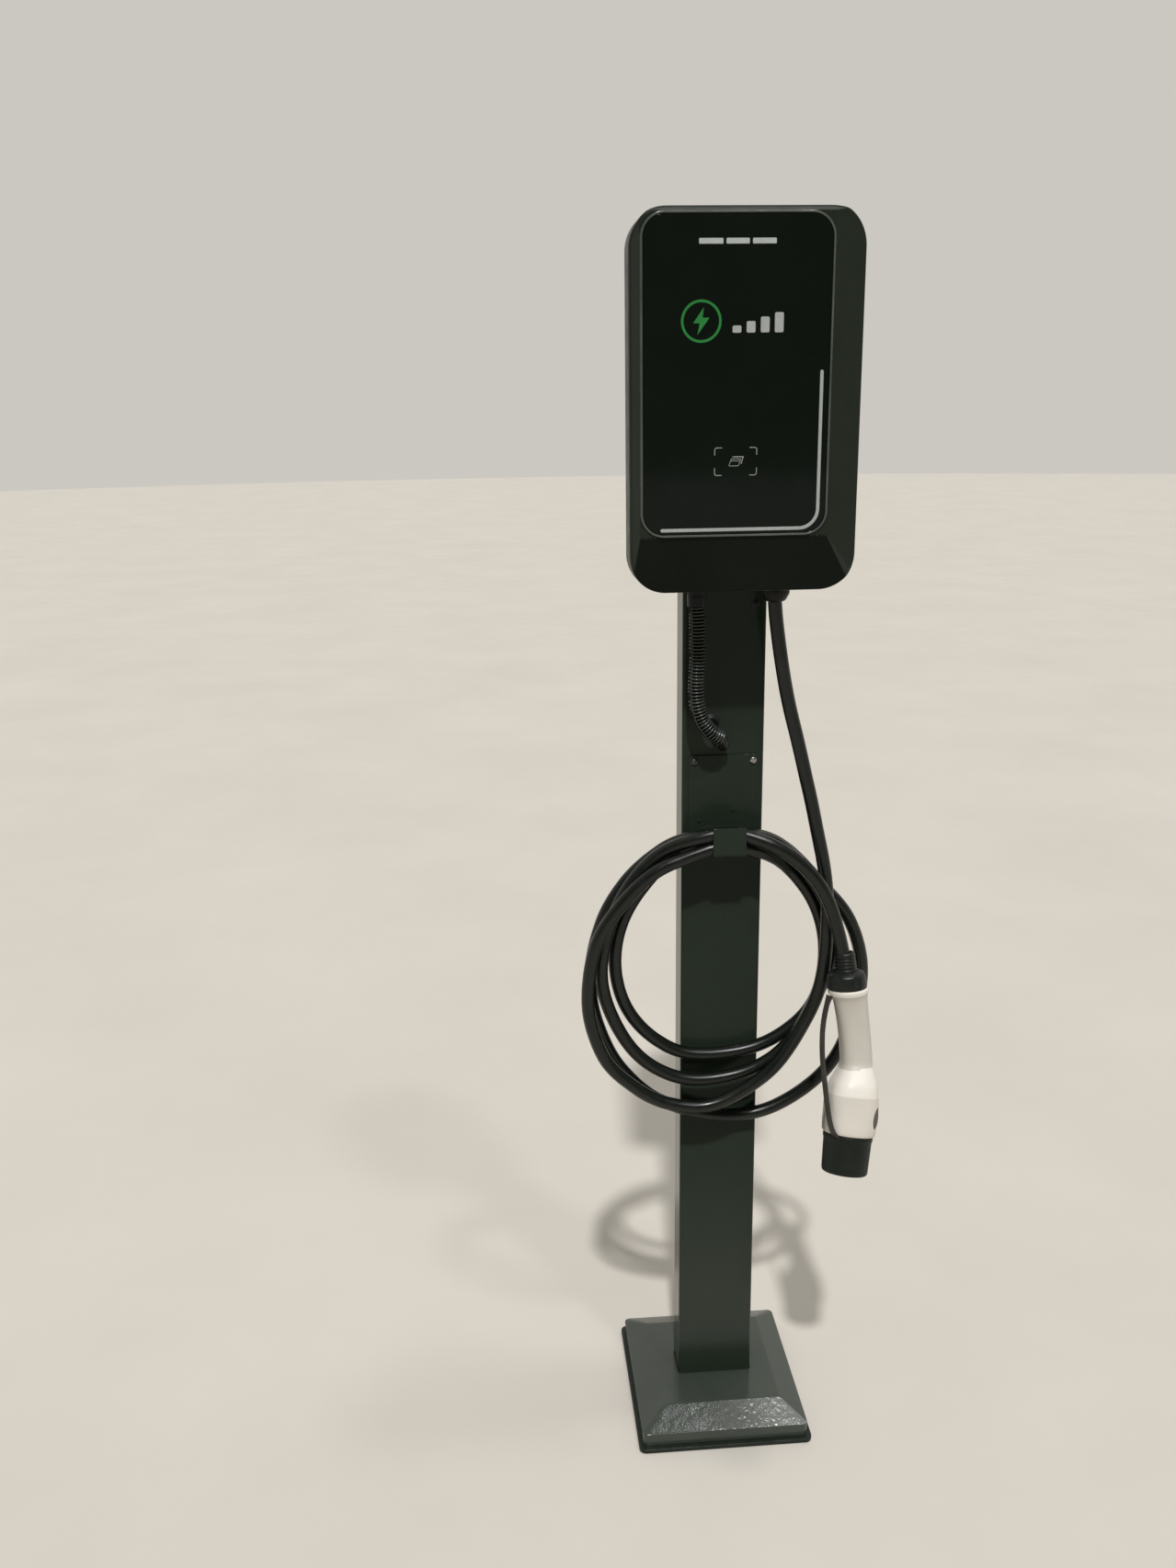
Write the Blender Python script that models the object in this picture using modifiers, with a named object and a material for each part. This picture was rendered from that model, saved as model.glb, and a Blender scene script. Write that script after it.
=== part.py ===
"""EV charging post: a floor-standing post with an AC charger head, a cable hook and a tethered
charging cable with its connector.  Metres, +Z up, front towards -Y, origin on the floor under the
middle of the fixed structure's box."""
import math
import bpy
import bmesh
import numpy as np
from mathutils import Vector, Matrix

MM = 0.001

# ----------------------------------------------------------------- driving dimensions (mm)
POST_W, POST_D, POST_WALL, POST_R = 100.0, 50.0, 2.5, 4.0
POST_TOP = 1500.0
POST_OFFSET_Y = 11.5           # post centre behind the middle of the structure's depth

PLATE_W, PLATE_D, PLATE_T, PLATE_R = 232.0, 250.0, 6.0, 9.0
COVER_W, COVER_D = 222.0, 236.0
COVER_TOP_W, COVER_TOP_D = 158.4, 165.6
COVER_SKIRT_Z, COVER_TOP_Z, COVER_T = 23.6, 40.3, 1.2

HEAD_W, HEAD_H, HEAD_R = 248.0, 392.0, 40.0
HEAD_Z = 1335.0                # middle of the head
HEAD_BACK_Y, HEAD_SPLIT_Y, HEAD_EDGE_Y, HEAD_FRONT_Y = -31.5, -94.7, -128.0, -148.0
PANEL_X, PANEL_Z = -13.7, 1362.2
PANEL_HX, PANEL_HZ, PANEL_R = 97.2, 158.6, 22.2
LIGHT_Z, LIGHT_H = 1495.0, 5.4
LIGHT_BARS = ((-53.9, -29.1), (-26.0, -2.2), (1.0, 25.3))
STRIP_X, STRIP_TOP, STRIP_Z, STRIP_LEFT, STRIP_R, STRIP_W = 76.1, 1368.0, 1208.0, -91.2, 20.0, 3.5

HOOK_W, HOOK_Z0, HOOK_Z1, HOOK_T = 84.0, 814.0, 928.0, 2.0
ARM_W, ARM_Y, LIP_Z = 40.0, -80.0, 852.0

GROMMET_X, GROMMET_Z = -7.6, 955.7
CONDUIT_R = 9.8
CONDUIT_GLAND = (-39.5, -58.0)
OUTPUT_GLAND = (51.0, -62.0)

CABLE_R = 8.2
COIL_OUT = (3.9, 645.0, 184.0, 207.5)     # centre x, centre z, half width, half height
COIL_IN = (-4.8, 684.5, 123.0, 137.8)
COIL_Y0, COIL_Y1 = -31.0, -72.8

COLLAR = Vector((143.2, -98.0, 657.2))    # middle of the connector's collar nut
CAP_TOP = Vector((139.1, -147.0, 475.3))  # middle of the cap's open end
NOSE_DIR = Vector((-0.150, -0.312, -0.938)).normalized()
COLLAR_DIR = Vector((0.051, -0.158, -0.986)).normalized()
CAP_LEN, CAP_R0, CAP_R1, NOSE_R = 48.0, 29.6, 27.9, 25.6

# ----------------------------------------------------------------- scene set-up
for ob in list(bpy.data.objects):
    bpy.data.objects.remove(ob, do_unlink=True)

SCENE = bpy.context.scene
PARTS = bpy.data.collections.new("ev_charging_post")
CUTTERS = bpy.data.collections.new("cutters")
SCENE.collection.children.link(PARTS)
SCENE.collection.children.link(CUTTERS)

ROOT = bpy.data.objects.new("post_axis", None)
ROOT.location = (0, POST_OFFSET_Y * MM, 0)
PARTS.objects.link(ROOT)


def material(name, rgb, rough, metal=0.0):
    m = bpy.data.materials.get(name)
    if m is None:
        m = bpy.data.materials.new(name)
        m.use_nodes = True
        b = m.node_tree.nodes["Principled BSDF"]
        b.inputs["Base Color"].default_value = (*rgb, 1)
        b.inputs["Roughness"].default_value = rough
        b.inputs["Metallic"].default_value = metal
    return m


POST_PAINT = material("post_paint", (0.030, 0.034, 0.035), 0.35)
HEAD_PLASTIC = material("head_plastic", (0.055, 0.060, 0.062), 0.55)
PANEL_GLOSS = material("panel_gloss", (0.008, 0.009, 0.009), 0.08)
LIGHT_WHITE = material("light_white", (0.9, 0.9, 0.9), 0.3)
BLACK_RUBBER = material("black_rubber", (0.012, 0.012, 0.013), 0.6)
BLACK_PLASTIC = material("black_plastic", (0.014, 0.014, 0.015), 0.4)
CABLE_BLACK = material("cable_black", (0.012, 0.012, 0.013), 0.45)
SCREW_STEEL = material("screw_steel", (0.62, 0.62, 0.60), 0.3, 1.0)
BRASS = material("silvered_brass", (0.75, 0.70, 0.58), 0.3, 1.0)
GUN_WHITE = material("gun_white", (0.72, 0.69, 0.63), 0.4)
GREY_PLASTIC = material("grey_plastic", (0.25, 0.26, 0.27), 0.5)
BOARD_GREEN = material("board_green", (0.02, 0.12, 0.05), 0.5)
SEAL_RUBBER = material("seal_rubber", (0.02, 0.02, 0.02), 0.7)
BRACKET_STEEL = material("bracket_steel", (0.45, 0.46, 0.47), 0.4, 1.0)


def place(obj, mat, parent=ROOT, smooth=False):
    PARTS.objects.link(obj)
    obj.parent = parent
    if mat is not None:
        obj.data.materials.append(mat)
    if smooth and obj.type == 'MESH':
        obj.data.shade_smooth()
        obj.data.set_sharp_from_angle(angle=math.radians(35))
    return obj


def cutter(obj, parent=ROOT):
    CUTTERS.objects.link(obj)
    obj.parent = parent
    obj.hide_render = True
    obj.display_type = 'WIRE'
    return obj


def cut(obj, tool, op='DIFFERENCE'):
    m = obj.modifiers.new("cut", 'BOOLEAN')
    m.operation = op
    m.solver = 'EXACT'
    m.object = tool
    return m


def mesh_from(name, bm):
    bmesh.ops.recalc_face_normals(bm, faces=bm.faces)
    me = bpy.data.meshes.new(name)
    bm.to_mesh(me)
    bm.free()
    return bpy.data.objects.new(name, me)


def box_obj(name, lo, hi, bevel=0.0, segs=1):
    lo, hi = Vector(lo), Vector(hi)
    bm = bmesh.new()
    bmesh.ops.create_cube(bm, size=1.0)
    size = (hi - lo) * MM
    bmesh.ops.scale(bm, vec=size, verts=bm.verts)
    ob = mesh_from(name, bm)
    ob.location = (lo + hi) / 2 * MM
    if bevel:
        b = ob.modifiers.new("edges", 'BEVEL')
        b.width = bevel * MM
        b.segments = segs
        b.limit_method = 'ANGLE'
    return ob


def aim(ob, direction):
    """Turn an object's own +Z to a direction."""
    ob.rotation_mode = 'QUATERNION'
    ob.rotation_quaternion = Vector((0, 0, 1)).rotation_difference(Vector(direction))
    return ob


def cyl_obj(name, r, length, at, direction=(0, 0, 1), sides=16, r2=None):
    """Cylinder or cone whose base is at 'at' and which runs along 'direction'."""
    bm = bmesh.new()
    bmesh.ops.create_cone(bm, cap_ends=True, segments=sides, radius1=r * MM,
                          radius2=(r if r2 is None else r2) * MM, depth=length * MM)
    bmesh.ops.translate(bm, vec=(0, 0, length * MM / 2), verts=bm.verts)
    ob = mesh_from(name, bm)
    ob.location = Vector(at) * MM
    return aim(ob, direction)


def turned(name, profile, at, direction=(0, 0, 1), steps=24, ring=False):
    """Profile of (radius, height) turned about the object's own Z with a Screw modifier.
    The profile runs down its outer side; with ring=True it closes on itself."""
    me = bpy.data.meshes.new(name)
    pts = [(r * MM, 0.0, z * MM) for r, z in profile]
    n = len(pts)
    edges = [(i, i + 1) for i in range(n - 1)] + ([(n - 1, 0)] if ring else [])
    me.from_pydata(pts, edges, [])
    ob = bpy.data.objects.new(name, me)
    s = ob.modifiers.new("turn", 'SCREW')
    s.axis = 'Z'
    s.angle = 2 * math.pi
    s.screw_offset = 0.0
    s.steps = steps
    s.render_steps = steps
    s.use_merge_vertices = True
    s.merge_threshold = 0.00001
    s.use_smooth_shade = True
    ob.location = Vector(at) * MM
    return aim(ob, direction)


def smooth_path(points, step):
    """Points every 'step' along a Catmull-Rom curve through the given points."""
    p = [np.array(q, float) for q in points]
    p = [2 * p[0] - p[1]] + p + [2 * p[-1] - p[-2]]
    fine = []
    for i in range(1, len(p) - 2):
        for k in range(24):
            t = k / 24.0
            a, b, c, d = p[i - 1], p[i], p[i + 1], p[i + 2]
            fine.append(0.5 * ((2 * b) + (c - a) * t + (2 * a - 5 * b + 4 * c - d) * t * t
                               + (3 * b - a - 3 * c + d) * t ** 3))
    fine.append(p[-2])
    fine = np.array(fine)
    s = np.concatenate([[0], np.cumsum(np.linalg.norm(np.diff(fine, axis=0), axis=1))])
    n = max(2, int(round(s[-1] / step)) + 1)
    t = np.linspace(0, s[-1], n)
    return [Vector([float(np.interp(v, s, fine[:, k])) for k in range(3)]) for v in t]


def tube_obj(name, points, r, res=2):
    cu = bpy.data.curves.new(name, 'CURVE')
    cu.dimensions = '3D'
    cu.resolution_u = 1
    cu.render_resolution_u = 0
    cu.bevel_depth = r * MM
    cu.bevel_resolution = res
    cu.use_fill_caps = True
    sp = cu.splines.new('POLY')
    sp.points.add(len(points) - 1)
    for q, p in zip(sp.points, points):
        q.co = (p[0] * MM, p[1] * MM, p[2] * MM, 1)
    return bpy.data.objects.new(name, cu)


def outline_obj(name, loops, thickness):
    """Flat outline (first loop outside, the rest holes) in the object's own XY plane."""
    cu = bpy.data.curves.new(name, 'CURVE')
    cu.dimensions = '2D'
    cu.fill_mode = 'BOTH'
    cu.resolution_u = 1
    cu.render_resolution_u = 0
    cu.extrude = thickness * MM / 2
    for loop in loops:
        sp = cu.splines.new('POLY')
        sp.points.add(len(loop) - 1)
        for q, p in zip(sp.points, loop):
            q.co = (p[0] * MM, p[1] * MM, 0, 1)
        sp.use_cyclic_u = True
    return bpy.data.objects.new(name, cu)


def as_mesh(ob, collection=None):
    """Evaluated copy of a curve object as a welded mesh, in the same place."""
    tmp = collection or CUTTERS
    tmp.objects.link(ob)
    bpy.context.view_layer.update()
    ev = ob.evaluated_get(bpy.context.evaluated_depsgraph_get())
    me = bpy.data.meshes.new_from_object(ev)
    bm = bmesh.new()
    bm.from_mesh(me)
    bmesh.ops.remove_doubles(bm, verts=bm.verts, dist=0.00002)
    bmesh.ops.recalc_face_normals(bm, faces=bm.faces)
    bm.to_mesh(me)
    bm.free()
    name = ob.name
    loc, rot = ob.matrix_world.copy(), None
    bpy.data.objects.remove(ob, do_unlink=True)
    new = bpy.data.objects.new(name, me)
    new.name = name
    new.matrix_world = loc
    return new


def rounded_rect(hx, hz, r, n=5, cx=0.0, cz=0.0):
    """Corner-rounded rectangle, anticlockwise, n points per corner."""
    pts = []
    for sx, sz, a0 in ((1, 1, 0), (-1, 1, 90), (-1, -1, 180), (1, -1, 270)):
        for k in range(n):
            a = math.radians(a0 + 90.0 * k / (n - 1))
            pts.append((cx + sx * (hx - r) + r * math.cos(a), cz + sz * (hz - r) + r * math.sin(a)))
    return pts


def circle(r, n=16, cx=0.0, cz=0.0):
    return [(cx + r * math.cos(2 * math.pi * k / n), cz + r * math.sin(2 * math.pi * k / n)) for k in range(n)]


def loft(name, rings, closed=False, caps=True):
    """Skin between rings of equal point count; closed joins the last ring to the first."""
    bm = bmesh.new()
    vr = [[bm.verts.new(Vector(p) * MM) for p in ring] for ring in rings]
    n = len(rings[0])
    pairs = list(zip(vr[:-1], vr[1:])) + ([(vr[-1], vr[0])] if closed else [])
    for a, b in pairs:
        for i in range(n):
            j = (i + 1) % n
            bm.faces.new((a[i], a[j], b[j], b[i]))
    if caps and not closed:
        bm.faces.new(list(reversed(vr[0])))
        bm.faces.new(vr[-1])
    return mesh_from(name, bm)


def xz_ring(points, y):
    return [(x, y, z) for x, z in points]


def xy_ring(points, z):
    return [(x, y, z) for x, y in points]


def pan_screw(name, at, direction, head_r, head_h, shank_r, shank_len, mat=SCREW_STEEL, parent=ROOT):
    """Pan-head screw: 'at' is the seat under the head, 'direction' points out of the head."""
    prof = [(0.0, head_h), (head_r * 0.62, head_h * 0.93), (head_r * 0.93, head_h * 0.55), (head_r, 0.0),
            (shank_r, 0.0), (shank_r, -shank_len), (0.0, -shank_len)]
    return place(turned(name, prof, at, direction, steps=12), mat, parent)


# ================================================================= base
plate = outline_obj("base_plate", [rounded_rect(PLATE_W / 2, PLATE_D / 2, PLATE_R, 5),
                                   circle(22, 20)]
                    + [circle(6, 12, sx * 92, sy * 100) for sx in (-1, 1) for sy in (-1, 1)], PLATE_T)
plate.location = (0, 0, PLATE_T / 2 * MM)
plate = as_mesh(plate)
place(plate, POST_PAINT)

c0, c1, r0 = COVER_W / 2, COVER_D / 2, 7.0
t0, t1 = COVER_TOP_W / 2, COVER_TOP_D / 2
hole = (POST_W / 2 + 0.5, POST_D / 2 + 0.5)
N = 4
cover = loft("base_cover", [
    xy_ring(rounded_rect(c0, c1, r0, N), PLATE_T + 0.3),
    xy_ring(rounded_rect(c0, c1, r0, N), COVER_SKIRT_Z),
    xy_ring(rounded_rect(t0, t1, 2.0, N), COVER_TOP_Z),
    xy_ring(rounded_rect(hole[0], hole[1], POST_R + 0.5, N), COVER_TOP_Z),
    xy_ring(rounded_rect(hole[0], hole[1], POST_R + 0.5, N), COVER_TOP_Z - COVER_T),
    xy_ring(rounded_rect(t0 - 0.5, t1 - 0.5, 1.6, N), COVER_TOP_Z - COVER_T),
    xy_ring(rounded_rect(c0 - COVER_T, c1 - COVER_T, r0 - COVER_T, N), COVER_SKIRT_Z - 0.7),
    xy_ring(rounded_rect(c0 - COVER_T, c1 - COVER_T, r0 - COVER_T, N), PLATE_T + 0.3),
], closed=True)
place(cover, POST_PAINT)

# ================================================================= post
hw, hd = POST_W / 2, POST_D / 2
outer = rounded_rect(hw, hd, POST_R, 4)
inner = rounded_rect(hw - POST_WALL, hd - POST_WALL, POST_R - 2.0, 4)
z0 = PLATE_T + 0.3
post = loft("post_tube", [xy_ring(outer, z0), xy_ring(outer, POST_TOP), xy_ring(inner, POST_TOP),
                          xy_ring(inner, z0)], closed=True)
place(post, POST_PAINT)


def post_hole(name, x, z, r, sides=12):
    """Hole through the post's front wall."""
    c = cutter(cyl_obj(name, r, 8, (x, -hd - 4, z), (0, 1, 0), sides))
    cut(post, c)


post_hole("cut_grommet", GROMMET_X, GROMMET_Z, 15.0, 20)
PANEL_SCREWS = [(-35.5, 920.5), (36.5, 920.5), (-35.5, 826.0), (36.5, 826.0)]
for i, (x, z) in enumerate(PANEL_SCREWS):
    post_hole("cut_hook_screw_%d" % (i + 1), x, z, 2.3, 10)
BRACKET_SCREWS = [(0.0, 1230.0), (0.0, 1440.0)]
for i, (x, z) in enumerate(BRACKET_SCREWS):
    post_hole("cut_bracket_screw_%d" % (i + 1), x, z, 3.4, 10)
EARTH = (36.4, 1111.0)
post_hole("cut_earth_screw", EARTH[0], EARTH[1], 2.3, 10)

plug = [xy_ring(rounded_rect(hw - POST_WALL - 0.5, hd - POST_WALL - 0.5, 2.0, 4), POST_TOP - 14),
        xy_ring(rounded_rect(hw - POST_WALL - 0.5, hd - POST_WALL - 0.5, 2.0, 4), POST_TOP + 0.3),
        xy_ring(rounded_rect(hw, hd, POST_R, 4), POST_TOP + 0.3),
        xy_ring(rounded_rect(hw, hd, POST_R, 4), POST_TOP + 2.2),
        xy_ring(rounded_rect(hw - 1.5, hd - 1.5, POST_R - 1.0, 4), POST_TOP + 3.5)]
place(loft("post_top_cap", plug), BLACK_PLASTIC)
pan_screw("earth_screw", (EARTH[0], -hd - 0.3, EARTH[1]), (0, -1, 0), 3.6, 2.2, 1.9, 6.0)

# ================================================================= cable hook, bent from one sheet
y_in = -hd - 0.3
y_out = y_in - HOOK_T
back = outline_obj("hook_plate", [rounded_rect(HOOK_W / 2, (HOOK_Z1 - HOOK_Z0) / 2, 3.0, 3)]
                   + [circle(2.3, 10, x, z - (HOOK_Z0 + HOOK_Z1) / 2) for x, z in PANEL_SCREWS], HOOK_T)
back.rotation_euler = (math.pi / 2, 0, 0)
back.location = (0, (y_in + y_out) / 2 * MM, (HOOK_Z0 + HOOK_Z1) / 2 * MM)
back = as_mesh(back)


def bend_profile(points, radius, n=4):
    """Polyline with its inner corners rounded."""
    out = [points[0]]
    for i in range(1, len(points) - 1):
        a, b, c = (np.array(points[i - 1], float), np.array(points[i], float), np.array(points[i + 1], float))
        u, v = (a - b) / np.linalg.norm(a - b), (c - b) / np.linalg.norm(c - b)
        p0, p1 = b + u * radius, b + v * radius
        for k in range(n + 1):
            t = k / n
            out.append(tuple((1 - t) ** 2 * p0 + 2 * t * (1 - t) * b + t * t * p1))
    out.append(points[-1])
    return out


outer_j = bend_profile([(y_in - 0.3, HOOK_Z0), (ARM_Y, HOOK_Z0), (ARM_Y, LIP_Z)], 3.2)
inner_j = bend_profile([(y_in - 0.3, HOOK_Z0 + HOOK_T), (ARM_Y + HOOK_T, HOOK_Z0 + HOOK_T), (ARM_Y + HOOK_T, LIP_Z)], 1.2)
j_loop = outer_j + inner_j[::-1]
jay = outline_obj("hook_arm_tool", [j_loop], ARM_W)
jay.matrix_world = Matrix(((0, 0, 1, 0), (1, 0, 0, 0), (0, 1, 0, 0), (0, 0, 0, 1)))
jay = as_mesh(jay)
cutter(jay)
place(back, POST_PAINT)
cut(back, jay, 'UNION')
for i, (x, z) in enumerate(PANEL_SCREWS):
    pan_screw("hook_screw_%d" % (i + 1), (x, y_out - 0.3, z), (0, -1, 0), 4.2, 2.4, 1.9, 8.0)

# ================================================================= grommet, conduit, supply cable
gx, gz = GROMMET_X, GROMMET_Z
gp = [(17.5, 0.8), (17.5, -1.6), (17.0, -2.0), (14.6, -2.0), (14.6, -5.4), (16.6, -5.8), (15.2, -7.6),
      (11.2, -7.6), (11.2, 0.2), (12.2, 1.2), (16.6, 1.2)]
place(turned("entry_grommet", [(r, z) for r, z in gp], (gx, -hd - 2.3, gz), (0, -1, 0), 24, ring=True), BLACK_RUBBER)

cgx, cgy = CONDUIT_GLAND
CONDUIT_PATH = [(cgx, cgy, 1133.0), (cgx + 0.3, cgy, 1112.0), (cgx + 1.2, cgy - 0.5, 1085.0), (cgx + 1.6, cgy - 1.0, 1050.0),
                (cgx + 1.0, cgy - 1.2, 1020.0), (cgx + 2.4, cgy - 0.8, 998.0), (cgx + 8.0, cgy + 1.0, 979.0),
                (-23.0, -51.0, 966.0), (-13.5, -42.0, 958.8), (-8.6, -32.0, 956.2), (gx, -23.0, gz), (gx, -12.0, gz)]
place(tube_obj("conduit", smooth_path(CONDUIT_PATH, 9.0), CONDUIT_R, 3), BLACK_PLASTIC)

SUPPLY_RISE = [(0.0, 0.0, 8.0), (0.0, 2.0, 150.0), (3.0, 1.0, 400.0), (-3.0, 3.0, 650.0), (-6.0, 9.0, 860.0), (gx, 12.5, 930.0)]
bend = [(gx, -8.5 + 21.0 * math.cos(t), gz - 21.0 + 21.0 * math.sin(t)) for t in [math.radians(15.0 * k) for k in range(7)]]
supply = smooth_path(SUPPLY_RISE, 45.0) + [Vector(p) for p in bend] + [Vector((gx, -11.5, gz))]
place(tube_obj("supply_cable", supply, 6.3, 2), CABLE_BLACK)

# ================================================================= head
HX, HZ = HEAD_W / 2, HEAD_H / 2
bracket = outline_obj("mounting_bracket", [rounded_rect(45, 135, 4, 3)] +
                      [circle(3.4, 10, x, z - HEAD_Z) for x, z in BRACKET_SCREWS] +
                      [circle(3.4, 10, x, 1458.0 - HEAD_Z) for x in (-36.0, 36.0)], 3.0)
bracket.rotation_euler = (math.pi / 2, 0, 0)
bracket.location = (0, (-hd - 1.8) * MM, HEAD_Z * MM)
bracket = as_mesh(bracket)
place(bracket, BRACKET_STEEL)
for i, (x, z) in enumerate(BRACKET_SCREWS):
    pan_screw("bracket_screw_%d" % (i + 1), (x, -hd - 3.6, z), (0, -1, 0), 5.5, 2.0, 2.9, 12.0)

NH = 6


def head_ring(hx, hz, r, y, cx=0.0, cz=HEAD_Z):
    return xz_ring(rounded_rect(hx, hz, r, NH, cx, cz), y)


rear = loft("rear_housing", [
    head_ring(111, 183, 29, -34.5), head_ring(111, 183, 29, -92.0), head_ring(121, 193, 39, -92.0),
    head_ring(121, 193, 39, -89.0), head_ring(114, 186, 32, -89.0), head_ring(114, 186, 32, -33.5),
    head_ring(112, 184, 30, HEAD_BACK_Y)])
place(rear, HEAD_PLASTIC)
for i, x in enumerate((-36.0, 36.0)):
    cut(rear, cutter(cyl_obj("cut_housing_bolt_%d" % (i + 1), 3.4, 12, (x, -38, 1458), (0, 1, 0), 10)))
cut(rear, cutter(cyl_obj("cut_conduit_gland", 10.4, 12, (cgx, cgy, 1144), (0, 0, 1), 16)))
ogx, ogy = OUTPUT_GLAND
cut(rear, cutter(cyl_obj("cut_output_gland", 10.4, 12, (ogx, ogy, 1144), (0, 0, 1), 16)))
HOUSING_SCREWS = [(-117.4, 1205.0), (117.4, 1205.0), (-117.4, 1465.0), (117.4, 1465.0)]
for i, (x, z) in enumerate(HOUSING_SCREWS):
    cut(rear, cutter(cyl_obj("cut_housing_screw_%d" % (i + 1), 1.8, 8, (x, -94.5, z), (0, 1, 0), 8)))
    pan_screw("housing_screw_%d" % (i + 1), (x, -88.7, z), (0, 1, 0), 2.9, 2.0, 1.4, 3.2)
for i, x in enumerate((-36.0, 36.0)):
    pan_screw("housing_bolt_%d" % (i + 1), (x, -34.8, 1458.0), (0, -1, 0), 5.5, 3.0, 3.0, 9.0)

gasket = loft("housing_gasket", [head_ring(120.5, 192.5, 38.5, -92.3), head_ring(120.5, 192.5, 38.5, -94.4),
                                 head_ring(114.0, 186.0, 32.0, -94.4), head_ring(114.0, 186.0, 32.0, -92.3)], closed=True)
place(gasket, SEAL_RUBBER)

px, pz = PANEL_X, PANEL_Z
front = loft("front_housing", [
    head_ring(HX, HZ, HEAD_R, HEAD_SPLIT_Y),
    head_ring(HX, HZ, HEAD_R, HEAD_EDGE_Y),
    head_ring(PANEL_HX + 3.2, PANEL_HZ + 3.2, PANEL_R + 3.0, -146.2, px, pz),
    head_ring(PANEL_HX + 2.7, PANEL_HZ + 2.7, PANEL_R + 2.5, HEAD_FRONT_Y, px, pz),
    head_ring(PANEL_HX + 0.4, PANEL_HZ + 0.4, PANEL_R + 0.4, HEAD_FRONT_Y, px, pz),
    head_ring(PANEL_HX + 0.4, PANEL_HZ + 0.4, PANEL_R + 0.4, -144.6, px, pz),
    head_ring(PANEL_HX - 1.6, PANEL_HZ - 1.6, PANEL_R - 1.6, -144.6, px, pz),
    head_ring(PANEL_HX - 1.6, PANEL_HZ - 1.6, PANEL_R - 1.6, -142.0, px, pz),
    head_ring(118, 190, 34, -124.5),
    head_ring(118, 190, 34, HEAD_SPLIT_Y)], closed=True)
place(front, HEAD_PLASTIC)

panel = loft("front_panel", [head_ring(PANEL_HX, PANEL_HZ, PANEL_R, -144.9, px, pz),
                             head_ring(PANEL_HX, PANEL_HZ, PANEL_R, -147.4, px, pz)])
place(panel, PANEL_GLOSS)
for i, (xa, xb) in enumerate(LIGHT_BARS):
    cut(panel, cutter(box_obj("cut_status_%d" % (i + 1), (xa - 0.35, -149, LIGHT_Z - LIGHT_H / 2 - 0.35),
                              (xb + 0.35, -143, LIGHT_Z + LIGHT_H / 2 + 0.35))))
    place(box_obj("status_light_%d" % (i + 1), (xa, -147.5, LIGHT_Z - LIGHT_H / 2), (xb, -141.2, LIGHT_Z + LIGHT_H / 2)),
          LIGHT_WHITE)


def strip_loop(w, ext=0.0):
    """Outline of the L-shaped light guide, half width w, both ends lengthened by ext."""
    cx, cz = STRIP_X - STRIP_R, STRIP_Z + STRIP_R
    a = [math.radians(-90.0 * k / 6) for k in range(7)]
    out = [(STRIP_X + w, STRIP_TOP + ext)] + [(cx + (STRIP_R + w) * math.cos(t), cz + (STRIP_R + w) * math.sin(t)) for t in a]
    out += [(STRIP_LEFT - ext, STRIP_Z - w), (STRIP_LEFT - ext, STRIP_Z + w)]
    out += [(cx + (STRIP_R - w) * math.cos(t), cz + (STRIP_R - w) * math.sin(t)) for t in reversed(a)]
    out += [(STRIP_X - w, STRIP_TOP + ext)]
    return out


def strip_solid(name, w, ext, ya, yb):
    ob = outline_obj(name, [[(x, z - HEAD_Z) for x, z in strip_loop(w, ext)]], yb - ya)
    ob.rotation_euler = (math.pi / 2, 0, 0)
    ob.location = (0, (ya + yb) / 2 * MM, HEAD_Z * MM)
    return as_mesh(ob)


cut(panel, cutter(strip_solid("cut_strip", STRIP_W / 2 + 0.35, 0.35, -149.0, -143.0)))
place(strip_solid("light_strip", STRIP_W / 2, 0.0, -147.5, -141.2), LIGHT_WHITE)

# boards and electrical pieces behind the panel
board = outline_obj("led_board", [rounded_rect(87, 149, 8, 3)], 1.6)
board.rotation_euler = (math.pi / 2, 0, 0)
board.location = (px * MM, -140.0 * MM, pz * MM)
place(as_mesh(board), BOARD_GREEN)
place(box_obj("main_board", (-95, -49.6, 1198), (95, -48.0, 1440)), BOARD_GREEN)
place(box_obj("contactor", (8, -98.0, 1262), (76, -49.9, 1330), 1.5), BLACK_PLASTIC)
place(box_obj("power_supply", (-84, -82.0, 1345), (-10, -49.9, 1400), 1.0), GREY_PLASTIC)
place(box_obj("supply_terminals", (-80, -72.0, 1204), (-10, -49.9, 1226), 0.8), GREY_PLASTIC)
place(box_obj("output_terminals", (16, -72.0, 1204), (86, -49.9, 1226), 0.8), GREY_PLASTIC)
place(turned("current_sensor", [(17, 6), (17, -6), (9.5, -6), (9.5, 6)], (ogx, ogy, 1186), (0, 0, 1), 24, ring=True),
      BLACK_PLASTIC)

# glands: body outside, neck screwed through the floor of the rear housing
floor_out, floor_in = HEAD_Z - 186, HEAD_Z - 183
place(turned("conduit_gland", [(9.9, floor_in + 9), (9.9, floor_out - 0.3), (14.5, floor_out - 0.3), (14.5, floor_out - 6),
                               (12.4, floor_out - 8), (11.6, floor_out - 40), (10.3, floor_out - 41.5),
                               (10.3, floor_out - 14.5), (7.0, floor_out - 14.5), (7.0, floor_in + 9)],
             (cgx, cgy, 0), (0, 0, 1), 24, ring=True), BLACK_PLASTIC)
place(turned("output_gland_body", [(9.9, floor_in + 9), (9.9, floor_out - 0.3), (14.6, floor_out - 0.3),
                                   (14.6, floor_out - 9.5), (8.9, floor_out - 9.5), (8.9, floor_in + 9)],
             (ogx, ogy, 0), (0, 0, 1), 24, ring=True), BLACK_PLASTIC)
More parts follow.
